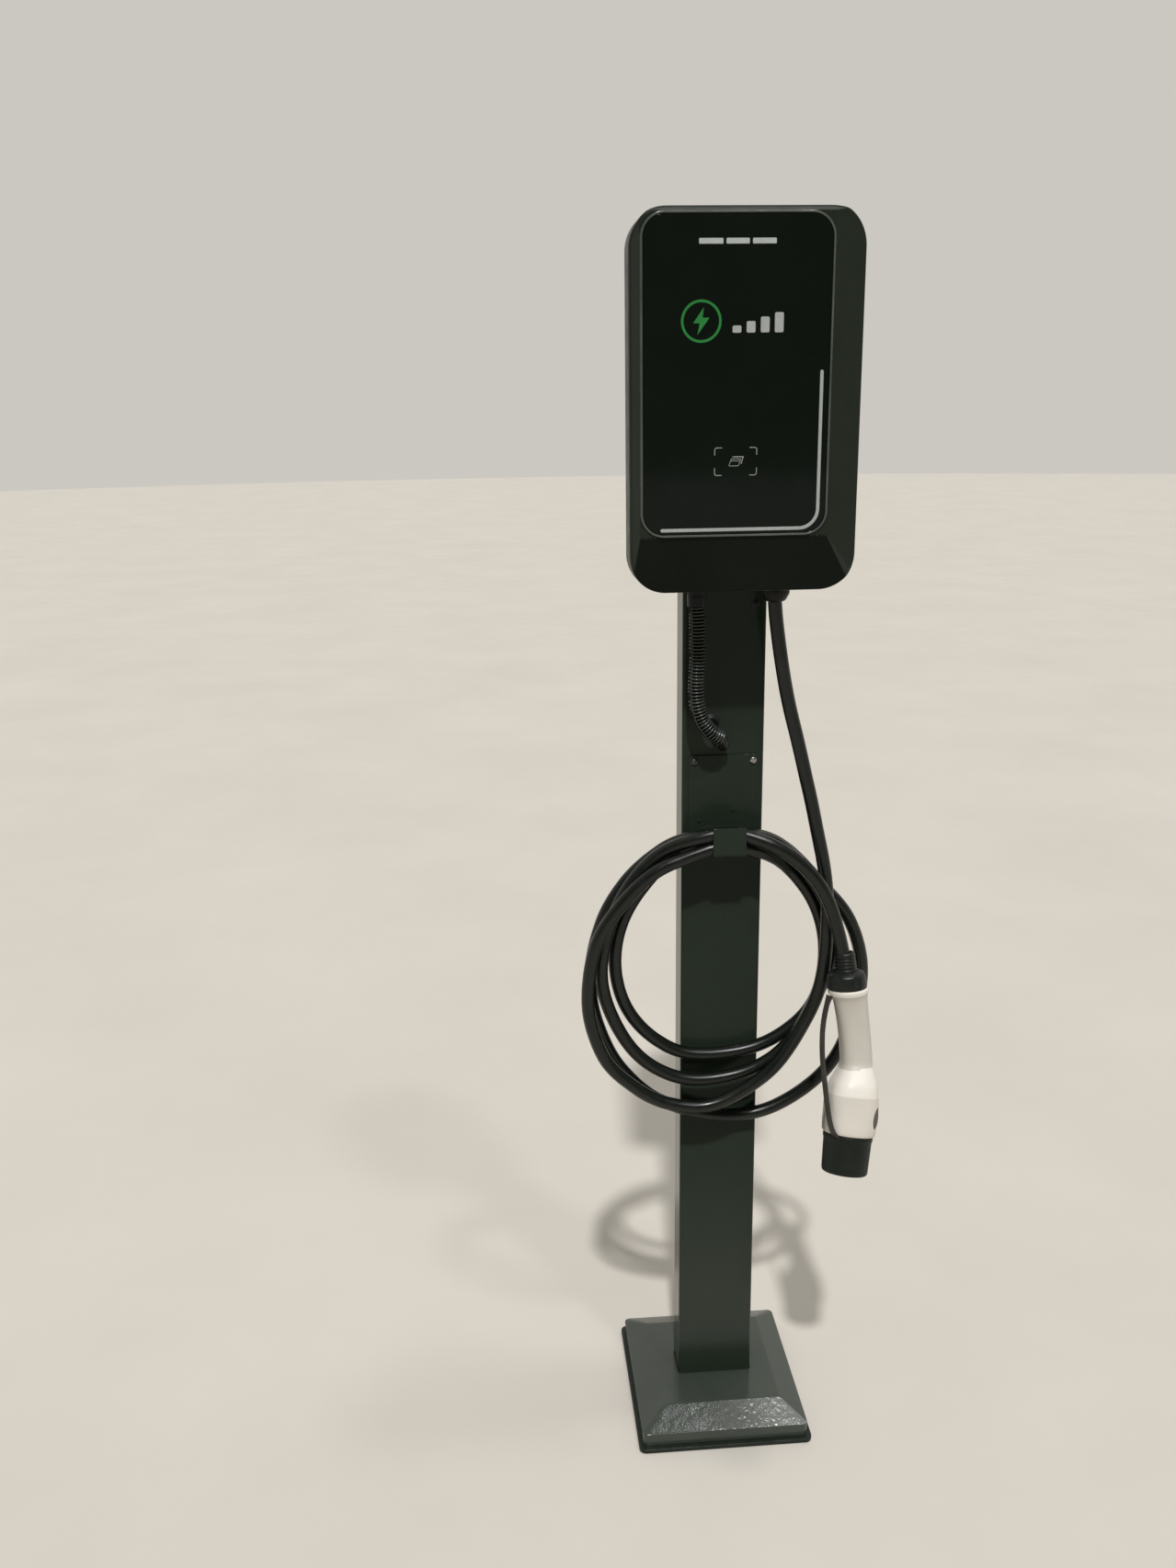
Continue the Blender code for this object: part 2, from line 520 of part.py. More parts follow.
place(turned("output_gland_nut", [(15.0, floor_out - 9.8), (16.6, floor_out - 14), (16.6, floor_out - 21),
                                  (14.6, floor_out - 25.5), (11.2, floor_out - 30.5), (8.9, floor_out - 30.5), (8.9, floor_out - 9.8)],
             (ogx, ogy, 0), (0, 0, 1), 24, ring=True), BLACK_PLASTIC)
place(tube_obj("supply_wires", smooth_path([(cgx, cgy, 1135.4), (cgx, cgy, 1158.0), (-42.0, -59.5, 1176.0), (-45.0, -61.0, 1193.0), (-45.0, -61.0, 1202.8)], 9), 5.6, 2), GREY_PLASTIC)
place(tube_obj("output_wires", smooth_path([(ogx, ogy, 1128.0), (ogx, ogy, 1165.0), (ogx, ogy, 1203.5)], 14), 7.6, 2), GREY_PLASTIC)

# ================================================================= charging cable
LEAD_PATH = [(ogx, ogy, 1118.0), (52.0, ogy, 1106.0), (54.6, -61.5, 1087.0), (61.6, -61.0, 1043.0), (70.6, -60.5, 998.0),
             (82.6, -60.0, 952.0), (94.2, -59.0, 905.0), (103.5, -57.5, 866.0), (110.5, -56.0, 838.0), (114.4, -55.2, 822.6)]
place(tube_obj("charging_cable_lead", smooth_path(LEAD_PATH, 16.0), CABLE_R, 3), CABLE_BLACK)


def ellipse(c, n, grow=0.0):
    cx, cz, a, b = c
    return [(cx + (a + grow) * math.cos(2 * math.pi * k / n), cz + (b + grow) * math.sin(2 * math.pi * k / n)) for k in range(n)]


NC = 40
ch = 7.0
coil = loft("charging_cable_coil", [
    xz_ring(ellipse(COIL_OUT, NC, -ch), COIL_Y0), xz_ring(ellipse(COIL_OUT, NC), COIL_Y0 - ch),
    xz_ring(ellipse(COIL_OUT, NC), COIL_Y1 + ch), xz_ring(ellipse(COIL_OUT, NC, -ch), COIL_Y1),
    xz_ring(ellipse(COIL_IN, NC, ch), COIL_Y1), xz_ring(ellipse(COIL_IN, NC), COIL_Y1 + ch),
    xz_ring(ellipse(COIL_IN, NC), COIL_Y0 - ch), xz_ring(ellipse(COIL_IN, NC, ch), COIL_Y0)], closed=True)
place(coil, CABLE_BLACK)

up = -COLLAR_DIR
TAIL_PATH = [(50.0, -81.9, 831.0), (60.5, -82.5, 826.0), (86.0, -84.5, 805.0), (107.0, -86.5, 782.5), (120.8, -88.5, 755.0),
             (131.3, -90.6, 725.2), tuple(COLLAR + up * 46.0), tuple(COLLAR + up * 34.7)]
place(tube_obj("charging_cable_tail", smooth_path(TAIL_PATH, 14.0), CABLE_R, 3), CABLE_BLACK)

# ================================================================= connector
relief_base = COLLAR + up * 12.6
place(turned("gun_strain_relief", [(9.6, 21.5), (11.0, 17.0), (12.2, 1.5), (14.0, 0.4), (14.0, -4.0), (9.0, -4.0), (8.8, 21.5)],
             relief_base, up, 20, ring=True), BLACK_RUBBER)
place(turned("gun_collar_nut", [(15.6, 12.0), (21.0, 9.0), (24.2, 3.0), (24.4, -9.0), (22.6, -9.0), (22.6, -3.0), (14.4, -3.0), (14.4, 12.0)],
             COLLAR, up, 28, ring=True), BLACK_PLASTIC)

# half shells: sections (centre x, y, z, half width, half depth) down the handle to the nose
SECTIONS = [((144.7, -100.3, 647.3), 24.2, 24.2, 0.0), ((145.3, -101.3, 642.3), 23.6, 23.6, 0.0), ((147.2, -102.6, 637.3), 20.8, 21.3, 0.1),
            ((149.7, -107.0, 614.0), 19.1, 19.6, 0.15), ((151.7, -112.0, 592.0), 18.6, 19.4, 0.2), ((153.0, -118.0, 567.0), 18.6, 20.2, 0.3),
            ((151.8, -121.5, 553.5), 20.0, 22.4, 0.5), ((148.3, -126.0, 538.5), 25.2, 26.5, 0.8), ((146.1, -132.0, 519.3), 30.2, 31.0, 0.95),
            ((142.9, -140.0, 495.0), 32.0, 32.4, 1.0), (tuple(CAP_TOP - NOSE_DIR * 0.6), 31.6, 31.8, 1.0)]
HANDLE_DIR = Vector((0.09, -0.205, -0.975)).normalized()


def gun_ring(i, inset, n=28):
    c, a, b, k = SECTIONS[i]
    base = COLLAR_DIR.lerp(HANDLE_DIR, min(1.0, i / 3.0))
    d = base.lerp(NOSE_DIR, k).normalized()
    u = (Vector((1, 0, 0)) - d * d.x).normalized()
    v = d.cross(u)
    return [Vector(c) + u * ((a - inset) * math.cos(2 * math.pi * j / n)) + v * ((b - inset) * math.sin(2 * math.pi * j / n))
            for j in range(n)]


m = len(SECTIONS)
rings = [gun_ring(i, 0.0) for i in range(m)] + [gun_ring(i, 2.6) for i in reversed(range(m))]
d_mid = HANDLE_DIR.lerp(NOSE_DIR, 0.5).normalized()
v_mid = d_mid.cross((Vector((1, 0, 0)) - d_mid * d_mid.x).normalized())
nu = (Vector((1, 0, 0)) - NOSE_DIR * NOSE_DIR.x).normalized()
nv = NOSE_DIR.cross(nu)
BTN_AZ = math.radians(40.0)
BTN_N = nu * math.cos(BTN_AZ) + nv * math.sin(BTN_AZ)
BTN = CAP_TOP - NOSE_DIR * 24.5 + BTN_N * 31.0
BTN_V = BTN_N.cross(NOSE_DIR)


def oval(a, b, h, n=24):
    """Oval across the button's axis, long way down the body, h above its centre."""
    return [BTN + NOSE_DIR * (a * math.cos(2 * math.pi * j / n)) + BTN_V * (b * math.sin(2 * math.pi * j / n)) + BTN_N * h
            for j in range(n)]


for name, side in (("gun_shell_front", -1), ("gun_shell_rear", 1)):
    sh = place(loft(name, rings, closed=True), GUN_WHITE)
    # the seam runs down the middle of both flanks, along the bend of the body
    seam = [Vector(c) for c, a, b, k in SECTIONS]
    seam[0] = seam[0] + (seam[0] - seam[1]) * 3
    seam[-1] = seam[-1] + (seam[-1] - seam[-2]) * 2
    near, far = [], []
    for p in seam:
        q = p + Vector((0, 0.15 * side, 0))
        near.append(q)
        far.append(q + Vector((0, 70.0 * side, 0)))
    loop = [(q.y, q.z) for q in near] + [(q.y, q.z) for q in reversed(far)]
    tool = loft("keep_" + name, [[(80.0, y, z) for y, z in loop], [(220.0, y, z) for y, z in loop]])
    cut(sh, cutter(tool), 'INTERSECT')
    cut(sh, cutter(loft("cut_button_" + name, [oval(13.6, 7.8, -12.0), oval(13.6, 7.8, 18.0)])))

# contact block and contacts in the open end, round nose around them
A = CAP_TOP
place(turned("gun_nose", [(28.4, -3.0), (28.4, -8.5), (22.2, -8.5), (22.2, 41.0), (23.4, 41.0), (25.6, 40.0), (25.6, -3.0)],
             A, NOSE_DIR, 32, ring=True), BLACK_PLASTIC)
PINS = [(0.0, 11.5, 3.1), (-13.2, 3.0, 3.1), (13.2, 3.0, 3.1), (-8.2, -11.0, 3.1), (8.2, -11.0, 3.1)]
block = place(cyl_obj("contact_block", 21.8, 40.0, A - NOSE_DIR * 3.0, NOSE_DIR, 28), BLACK_PLASTIC)
PIN_NAMES = ("contact_earth", "contact_line", "contact_neutral", "contact_pilot", "contact_proximity")
for nm, (a, b, r) in zip(PIN_NAMES, PINS):
    p = A + nu * a + nv * b
    cut(block, cutter(cyl_obj("cut_" + nm, r + 1.0, 34.0, p + NOSE_DIR * 5.0, NOSE_DIR, 14)))
    place(turned(nm, [(r, 25.0), (r, 0.0), (r - 1.2, 0.0), (r - 1.2, 25.0)], p + NOSE_DIR * 5.4, NOSE_DIR, 12, ring=True), BRASS)

# release button on the flank, with its switch behind it
btn_axis = bpy.data.objects.new("button_axis", None)
PARTS.objects.link(btn_axis)
btn_axis.parent = ROOT
btn_axis.location = BTN * MM
aim(btn_axis, BTN_N)
place(loft("release_button", [oval(13.0, 7.2, -7.0), oval(13.0, 7.2, 1.2), oval(12.0, 6.2, 2.2)]), GREY_PLASTIC)
place(box_obj("button_switch", (-5, -8, -18.5), (5, 8, -10.6), 0.6), BLACK_PLASTIC, btn_axis)

# cap and its strap
cap_axis = bpy.data.objects.new("cap_axis", None)
PARTS.objects.link(cap_axis)
cap_axis.parent = ROOT
cap_axis.location = A * MM
aim(cap_axis, NOSE_DIR)
place(turned("connector_cap", [(0.0, CAP_LEN), (24.0, CAP_LEN), (CAP_R1, CAP_LEN - 2.5), (CAP_R0, 0.0), (NOSE_R + 0.4, 0.0),
                               (NOSE_R + 0.4, 43.5), (0.0, 43.5)], (0, 0, 0), (0, 0, 1), 32), BLACK_RUBBER, cap_axis)

STRAP_AZ = math.radians(128.0)


def cap_point(r, along):
    """Point beside the cap's axis, on the strap's side."""
    return tuple(A + NOSE_DIR * along + (nu * math.cos(STRAP_AZ) + nv * math.sin(STRAP_AZ)) * r)


STRAP_PATH = [(121.3, -104.5, 640.0), (117.5, -106.5, 628.0), (113.2, -110.5, 607.0), (110.8, -117.0, 586.0), (109.6, -128.0, 562.5),
              (109.8, -143.0, 537.0), (111.0, -158.0, 513.0), cap_point(38.0, -16.0), cap_point(34.2, -4.0), cap_point(31.4, 7.0)]
sp = smooth_path(STRAP_PATH, 9.0)
rings = []
for i, p in enumerate(sp):
    t = (sp[min(i + 1, len(sp) - 1)] - sp[max(i - 1, 0)]).normalized()
    side = Vector((0.62, -0.78, 0.0))
    side = (side - t * side.dot(t)).normalized()
    nrm = t.cross(side)
    w, h = 3.6, 1.1
    rings.append([p + side * w + nrm * h, p - side * w + nrm * h, p - side * w - nrm * h, p + side * w - nrm * h])
place(loft("cap_strap", rings), BLACK_RUBBER)
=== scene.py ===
"""EV charging post: detailed pieces, materials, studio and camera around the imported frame."""
import bpy
import bmesh
import math
from mathutils import Vector, Matrix, noise


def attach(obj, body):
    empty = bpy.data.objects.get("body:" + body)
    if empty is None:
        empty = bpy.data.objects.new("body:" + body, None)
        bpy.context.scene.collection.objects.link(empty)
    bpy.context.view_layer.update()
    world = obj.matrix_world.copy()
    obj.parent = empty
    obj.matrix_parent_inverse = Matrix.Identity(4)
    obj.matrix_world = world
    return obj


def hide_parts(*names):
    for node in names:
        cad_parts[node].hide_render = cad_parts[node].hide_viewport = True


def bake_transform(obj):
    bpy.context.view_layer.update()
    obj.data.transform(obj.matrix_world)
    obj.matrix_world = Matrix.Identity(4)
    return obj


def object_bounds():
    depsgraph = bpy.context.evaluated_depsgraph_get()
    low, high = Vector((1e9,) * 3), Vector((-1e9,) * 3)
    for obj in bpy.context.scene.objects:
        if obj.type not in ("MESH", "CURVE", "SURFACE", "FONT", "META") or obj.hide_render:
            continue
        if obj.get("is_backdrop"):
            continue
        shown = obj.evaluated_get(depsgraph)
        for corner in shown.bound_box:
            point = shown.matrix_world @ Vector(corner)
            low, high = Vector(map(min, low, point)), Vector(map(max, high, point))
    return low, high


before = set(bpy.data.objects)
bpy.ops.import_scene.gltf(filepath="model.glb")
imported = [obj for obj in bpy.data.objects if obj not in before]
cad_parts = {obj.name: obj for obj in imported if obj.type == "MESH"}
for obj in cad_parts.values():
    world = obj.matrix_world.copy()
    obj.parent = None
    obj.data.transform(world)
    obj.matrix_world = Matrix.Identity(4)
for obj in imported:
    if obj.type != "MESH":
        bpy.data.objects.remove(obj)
CAD_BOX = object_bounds()

MM = 0.001
SHIFT_Y = 11.5        # the post's centre stands this far behind the row frame's origin, mm
SCENE = bpy.context.scene


def W(p):
    """Post-centred millimetres to the row frame's metres."""
    return (p[0] * MM, (p[1] + SHIFT_Y) * MM, p[2] * MM)


# ================================================================= camera
cam_data = bpy.data.cameras.new("camera")
cam_data.sensor_width = 36.0
cam_data.lens = 1447.035 * 36.0 / 1706.0
cam_data.clip_start = 0.05
cam_data.clip_end = 200.0
camera = bpy.data.objects.new("camera", cam_data)
SCENE.collection.objects.link(camera)
SCENE.camera = camera
yaw, pitch, roll = (math.radians(a) for a in (-4.25956, -15.7994, 0.83195))
aim3 = (Matrix.Rotation(yaw, 3, 'Z') @ Matrix.Rotation(pitch, 3, 'X') @ Matrix.Rotation(roll, 3, 'Y'))
right, forward, upward = aim3.col[0].copy(), aim3.col[1].copy(), aim3.col[2].copy()
cam_m = Matrix.Identity(4)
for i in range(3):
    cam_m[i][0], cam_m[i][1], cam_m[i][2] = right[i], upward[i], -forward[i]
cam_m.translation = Vector(W((-279.855, -1570.049, 1335.193)))
camera.matrix_world = cam_m

# ================================================================= materials
def nodes_of(name):
    m = bpy.data.materials.new(name)
    m.use_nodes = True
    return m, m.node_tree, m.node_tree.nodes["Principled BSDF"]


def coords(nt, stretch=(1, 1, 1), turn=(0, 0, 0)):
    tc = nt.nodes.new("ShaderNodeTexCoord")
    mp = nt.nodes.new("ShaderNodeMapping")
    mp.inputs["Scale"].default_value = stretch
    mp.inputs["Rotation"].default_value = turn
    nt.links.new(tc.outputs["Object"], mp.inputs["Vector"])
    return mp.outputs["Vector"]


def noise_of(nt, vec, scale, detail=3.0, rough=0.55, distortion=0.0):
    n = nt.nodes.new("ShaderNodeTexNoise")
    n.inputs["Scale"].default_value = scale
    n.inputs["Detail"].default_value = detail
    n.inputs["Roughness"].default_value = rough
    n.inputs["Distortion"].default_value = distortion
    nt.links.new(vec, n.inputs["Vector"])
    return n.outputs[0]


def ramp(nt, fac, stops):
    r = nt.nodes.new("ShaderNodeValToRGB")
    el = r.color_ramp.elements
    el[0].position, el[0].color = stops[0][0], (*stops[0][1], 1)
    el[1].position, el[1].color = stops[-1][0], (*stops[-1][1], 1)
    for pos, col in stops[1:-1]:
        e = el.new(pos)
        e.color = (*col, 1)
    nt.links.new(fac, r.inputs["Fac"])
    return r.outputs["Color"]


def span(nt, val, a, b, lo=0.3, hi=0.7):
    m = nt.nodes.new("ShaderNodeMapRange")
    for k, v in (("From Min", lo), ("From Max", hi), ("To Min", a), ("To Max", b)):
        m.inputs[k].default_value = v
    nt.links.new(val, m.inputs["Value"])
    return m.outputs["Result"]


def bump_of(nt, height, strength, distance, normal=None):
    b = nt.nodes.new("ShaderNodeBump")
    b.inputs["Strength"].default_value = strength
    b.inputs["Distance"].default_value = distance
    nt.links.new(height, b.inputs["Height"])
    if normal is not None:
        nt.links.new(normal, b.inputs["Normal"])
    return b.outputs["Normal"]


def surface(name, tones, rough, metal=0.0, col_scale=9.0, grain=(900.0, 0.12, 0.0004), wave=None, stretch=(1, 1, 1),
            spec=0.5, coat=0.0, coat_rough=0.1, speck=None, emit=None, dust=None, sheen=0.0):
    """Painted, moulded or cast finish: slow colour and roughness variation, fine grain, optional slow waviness."""
    m, nt, b = nodes_of(name)
    vec = coords(nt, stretch)
    slow = noise_of(nt, vec, col_scale, 5.0, 0.6)
    stops = [(0.25 + 0.5 * k / max(1, len(tones) - 1), t) for k, t in enumerate(tones)]
    col = ramp(nt, slow, stops)
    if speck is not None:
        scale, colour, cover = speck
        s = noise_of(nt, vec, scale, 2.0, 0.5)
        mask = span(nt, s, 0.0, 1.0, cover, cover + 0.06)
        mx = nt.nodes.new("ShaderNodeMix")
        mx.data_type = 'RGBA'
        nt.links.new(mask, mx.inputs[0])
        nt.links.new(col, mx.inputs[6])
        mx.inputs[7].default_value = (*colour, 1)
        col = mx.outputs[2]
    if dust is not None:
        geo = nt.nodes.new("ShaderNodeNewGeometry")
        sep = nt.nodes.new("ShaderNodeSeparateXYZ")
        nt.links.new(geo.outputs["Normal"], sep.inputs[0])
        face_up = span(nt, sep.outputs["Z"], 0.0, dust[1], 0.35, 0.95)
        patch = noise_of(nt, vec, 55.0, 4.0, 0.65)
        amount = nt.nodes.new("ShaderNodeMath")
        amount.operation = 'MULTIPLY'
        nt.links.new(face_up, amount.inputs[0])
        nt.links.new(patch, amount.inputs[1])
        mx = nt.nodes.new("ShaderNodeMix")
        mx.data_type = 'RGBA'
        nt.links.new(amount.outputs[0], mx.inputs[0])
        nt.links.new(col, mx.inputs[6])
        mx.inputs[7].default_value = (*dust[0], 1)
        col = mx.outputs[2]
    nt.links.new(col, b.inputs["Base Color"])
    patchy = noise_of(nt, vec, col_scale * 4.3, 4.0, 0.6)
    nt.links.new(span(nt, patchy, rough[0], rough[1]), b.inputs["Roughness"])
    b.inputs["Metallic"].default_value = metal
    b.inputs["Specular IOR Level"].default_value = spec
    normal = None
    if wave is not None:
        normal = bump_of(nt, noise_of(nt, vec, wave[0], 2.0, 0.5), wave[1], wave[2])
    if grain is not None:
        normal = bump_of(nt, noise_of(nt, vec, grain[0], 2.5, 0.6), grain[1], grain[2], normal)
    if normal is not None:
        nt.links.new(normal, b.inputs["Normal"])
    if coat:
        b.inputs["Coat Weight"].default_value = coat
        b.inputs["Coat Roughness"].default_value = coat_rough
    if sheen:
        b.inputs["Sheen Weight"].default_value = sheen
    if emit is not None:
        b.inputs["Emission Color"].default_value = (*emit[0], 1)
        b.inputs["Emission Strength"].default_value = emit[1]
    return m


PAINT = surface("powder_coat", [(0.0164, 0.0243, 0.0164), (0.0192, 0.0280, 0.0191), (0.0220, 0.0316, 0.0218)], (0.10, 0.17),
                col_scale=6.0, grain=(620.0, 0.06, 0.0005), wave=(30.0, 0.035, 0.0008), spec=0.09)
COVER_PAINT = surface("cover_coat", [(0.0325, 0.0405, 0.0325), (0.0385, 0.0475, 0.0385), (0.0440, 0.0535, 0.0440)], (0.13, 0.22),
                      col_scale=11.0, grain=(560.0, 0.08, 0.0005), wave=(26.0, 0.06, 0.0008), spec=0.52)
CREASED_PAINT = surface("cover_coat_creased", [(0.0230, 0.0300, 0.0232), (0.0290, 0.0370, 0.0290), (0.0350, 0.0440, 0.0350)], (0.17, 0.27),
                        col_scale=34.0, grain=(420.0, 0.25, 0.0006), wave=(170.0, 0.60, 0.0030), spec=0.6)


def crease_and_painted_highlight_to_the_right(m, low, high):
    """The folded sheet is smooth and dark at its left end and more and more creased towards its right end, where its
    colour is mixed paler as a painted highlight.
    """
    nt = m.node_tree
    tc = nt.nodes.new("ShaderNodeTexCoord")
    sep = nt.nodes.new("ShaderNodeSeparateXYZ")
    nt.links.new(tc.outputs["Object"], sep.inputs[0])
    strength = span(nt, sep.outputs["X"], low, high, -0.045, 0.060)
    for n in nt.nodes:
        if n.bl_idname == "ShaderNodeBump" and n.inputs["Strength"].default_value > 0.5:
            nt.links.new(strength, n.inputs["Strength"])
    base = next(n for n in nt.nodes if n.bl_idname == "ShaderNodeBsdfPrincipled").inputs["Base Color"]
    plain_tone = base.links[0].from_socket
    # painted highlight: the base colour turns paler towards the right end of the facet
    painted_highlight_mix = nt.nodes.new("ShaderNodeMix")
    painted_highlight_mix.data_type = 'RGBA'
    nt.links.new(span(nt, sep.outputs["X"], 0.0, 1.0, -0.055, 0.075), painted_highlight_mix.inputs[0])
    nt.links.new(plain_tone, painted_highlight_mix.inputs[6])
    painted_highlight_mix.inputs[7].default_value = (0.140, 0.150, 0.138, 1)
    nt.links.new(painted_highlight_mix.outputs[2], base)


# creases and a painted highlight grow towards the right end of the creased facet
crease_and_painted_highlight_to_the_right(CREASED_PAINT, 0.07, 0.90)


def painted_floor_reflection_on_foot(m, colour, amount):
    """A paler band on the lowest quarter of the post, fading upwards: a painted reflection of the floor."""
    nt = m.node_tree
    tc = nt.nodes.new("ShaderNodeTexCoord")
    sep = nt.nodes.new("ShaderNodeSeparateXYZ")
    nt.links.new(tc.outputs["Object"], sep.inputs[0])
    both = nt.nodes.new("ShaderNodeMath")
    both.operation = 'MULTIPLY'
    nt.links.new(span(nt, sep.outputs["Z"], 0.0, amount, 0.070, 0.092), both.inputs[0])
    nt.links.new(span(nt, sep.outputs["Z"], 1.0, 0.0, 0.170, 0.380), both.inputs[1])
    base = next(n for n in nt.nodes if n.bl_idname == "ShaderNodeBsdfPrincipled").inputs["Base Color"]
    plain_tone = base.links[0].from_socket
    # painted reflection of the floor, mixed into the base colour
    painted_reflection_mix = nt.nodes.new("ShaderNodeMix")
    painted_reflection_mix.data_type = 'RGBA'
    nt.links.new(both.outputs[0], painted_reflection_mix.inputs[0])
    nt.links.new(plain_tone, painted_reflection_mix.inputs[6])
    painted_reflection_mix.inputs[7].default_value = (*colour, 1)
    nt.links.new(painted_reflection_mix.outputs[2], base)


POST_PAINT = surface("powder_coat_post", [(0.0164, 0.0243, 0.0164), (0.0192, 0.0280, 0.0191), (0.0220, 0.0316, 0.0218)], (0.10, 0.17),
                     col_scale=6.0, grain=(620.0, 0.06, 0.0005), wave=(30.0, 0.035, 0.0008), spec=0.09)
# painted reflection of the floor near the post's foot
painted_floor_reflection_on_foot(POST_PAINT, (0.043, 0.050, 0.042), 0.75)
PLATE_PAINT = surface("plate_coat", [(0.0100, 0.0138, 0.0096), (0.0145, 0.0188, 0.0137)], (0.20, 0.34), col_scale=16.0,
                      grain=(520.0, 0.12, 0.0006), wave=(90.0, 0.1, 0.0008), spec=0.24)
HEAD = surface("head_moulding", [(0.0145, 0.0195, 0.0137), (0.0173, 0.0230, 0.0163), (0.0202, 0.0266, 0.0190)], (0.30, 0.42),
               col_scale=11.0, grain=(1500.0, 0.18, 0.0003), wave=(14.0, 0.03, 0.001), spec=0.11)
# lighter copy of the head moulding for the lower-right mitre: painted light
HEAD_PAINTED_LIGHT_CORNER = surface("head_moulding_painted_light_corner", [(0.0220, 0.0280, 0.0222), (0.0250, 0.0315, 0.0252), (0.0280, 0.0350, 0.0282)], (0.28, 0.40),
                     col_scale=11.0, grain=(1500.0, 0.18, 0.0003), wave=(14.0, 0.03, 0.001), spec=0.13)
# darker copy of the head moulding for the bottom bevel: painted shade
HEAD_PAINTED_SHADE_BOTTOM = surface("head_moulding_painted_shade_bottom", [(0.0056, 0.0080, 0.0058), (0.0068, 0.0096, 0.0070), (0.0082, 0.0113, 0.0084)], (0.32, 0.44),
                     col_scale=11.0, grain=(1500.0, 0.18, 0.0003), wave=(14.0, 0.03, 0.001), spec=0.06)
HEAD_REAR = surface("head_moulding_rear", [(0.0105, 0.0140, 0.0100), (0.0158, 0.0202, 0.0150)], (0.42, 0.56),
                    col_scale=13.0, grain=(1300.0, 0.35, 0.0004), spec=0.22)
# pale grey trim round the panel: a real raised lip, its pale grey a painted highlight along the lip
TRIM_PAINTED_HIGHLIGHT = surface("panel_trim_painted_highlight", [(0.050, 0.058, 0.050), (0.072, 0.082, 0.072), (0.095, 0.106, 0.094)], (0.16, 0.28),
               col_scale=24.0, grain=(1500.0, 0.08, 0.0002), spec=0.7)
GLOSS = surface("panel_gloss_black", [(0.0044, 0.0070, 0.0049), (0.0055, 0.0083, 0.0060), (0.0066, 0.0096, 0.0071)], (0.05, 0.10),
                col_scale=7.0, grain=(240.0, 0.015, 0.0002), wave=(9.0, 0.015, 0.0006), spec=0.11)
LED = surface("light_diffuser", [(0.385, 0.415, 0.395), (0.435, 0.462, 0.440)], (0.22, 0.34), col_scale=60.0,
              grain=(1800.0, 0.08, 0.0002), spec=0.45, emit=((0.96, 1.0, 0.97), 0.03))
STRIP_LED = surface("strip_diffuser", [(0.315, 0.340, 0.322), (0.375, 0.400, 0.380)], (0.22, 0.34), col_scale=60.0,
                    grain=(1800.0, 0.08, 0.0002), spec=0.45, emit=((0.96, 1.0, 0.97), 0.02))
RUBBER = surface("black_rubber", [(0.0040, 0.0052, 0.0042), (0.0062, 0.0078, 0.0064), (0.0090, 0.0108, 0.0090)], (0.36, 0.52),
                 col_scale=40.0, grain=(1400.0, 0.25, 0.0003), spec=0.4)
CAP_RUBBER = surface("cap_rubber", [(0.0052, 0.0078, 0.0048), (0.0076, 0.0108, 0.0070), (0.0100, 0.0138, 0.0093)], (0.42, 0.56),
                     col_scale=30.0, grain=(1500.0, 0.3, 0.0003), spec=0.24)
STRAP_RUBBER = surface("strap_rubber", [(0.020, 0.017, 0.013), (0.030, 0.026, 0.021), (0.040, 0.035, 0.029)], (0.42, 0.60),
                       col_scale=38.0, grain=(1600.0, 0.25, 0.0003), spec=0.5)
CABLE = surface("cable_jacket", [(0.0028, 0.0044, 0.0029), (0.0042, 0.0060, 0.0042), (0.0062, 0.0083, 0.0063)], (0.26, 0.36),
                col_scale=26.0, grain=(1100.0, 0.06, 0.0002), spec=0.38,
                speck=(900.0, (0.021, 0.025, 0.020), 0.72))
BLACK = surface("black_moulding", [(0.0038, 0.0054, 0.0039), (0.0060, 0.0080, 0.0060), (0.0085, 0.0108, 0.0085)], (0.24, 0.38),
                col_scale=30.0, grain=(1300.0, 0.10, 0.0003), spec=0.36)
NUT_BLACK = surface("nut_moulding", [(0.0042, 0.0060, 0.0043), (0.0066, 0.0088, 0.0066), (0.0092, 0.0118, 0.0092)], (0.36, 0.48),
                    col_scale=30.0, grain=(1300.0, 0.14, 0.0003), spec=0.36)
CONDUIT = surface("conduit_plastic", [(0.0270, 0.0320, 0.0270), (0.0400, 0.0460, 0.0400)], (0.20, 0.30),
                  col_scale=35.0, grain=(1200.0, 0.06, 0.0002), spec=0.50)
GLAND_BLACK = surface("gland_moulding", [(0.0026, 0.0036, 0.0027), (0.0044, 0.0058, 0.0045)], (0.30, 0.44),
                      col_scale=35.0, grain=(1200.0, 0.10, 0.0002), spec=0.2)
# near-black copy of the conduit plastic for its grooves and left-facing side: painted shade; against it the paler
# crests read as painted light
CONDUIT_PAINTED_SHADE = surface("conduit_painted_shade", [(0.0016, 0.0022, 0.0017), (0.0028, 0.0036, 0.0028)], (0.45, 0.60),
                      col_scale=35.0, grain=(1200.0, 0.06, 0.0002), spec=0.03)
SLIT = surface("conduit_slit_edge", [(0.060, 0.066, 0.060), (0.085, 0.092, 0.085)], (0.30, 0.45), col_scale=60.0,
               grain=(1500.0, 0.1, 0.0002), spec=0.25)
# dark steel for the earth screw and its washer, which lie in the head's shadow: painted shade
EARTH_SCREW_PAINTED_SHADE = surface("earth_screw_painted_shade", [(0.022, 0.026, 0.022), (0.042, 0.047, 0.041)], (0.34, 0.48), metal=1.0,
                     col_scale=160.0, grain=(2400.0, 0.12, 0.0002))
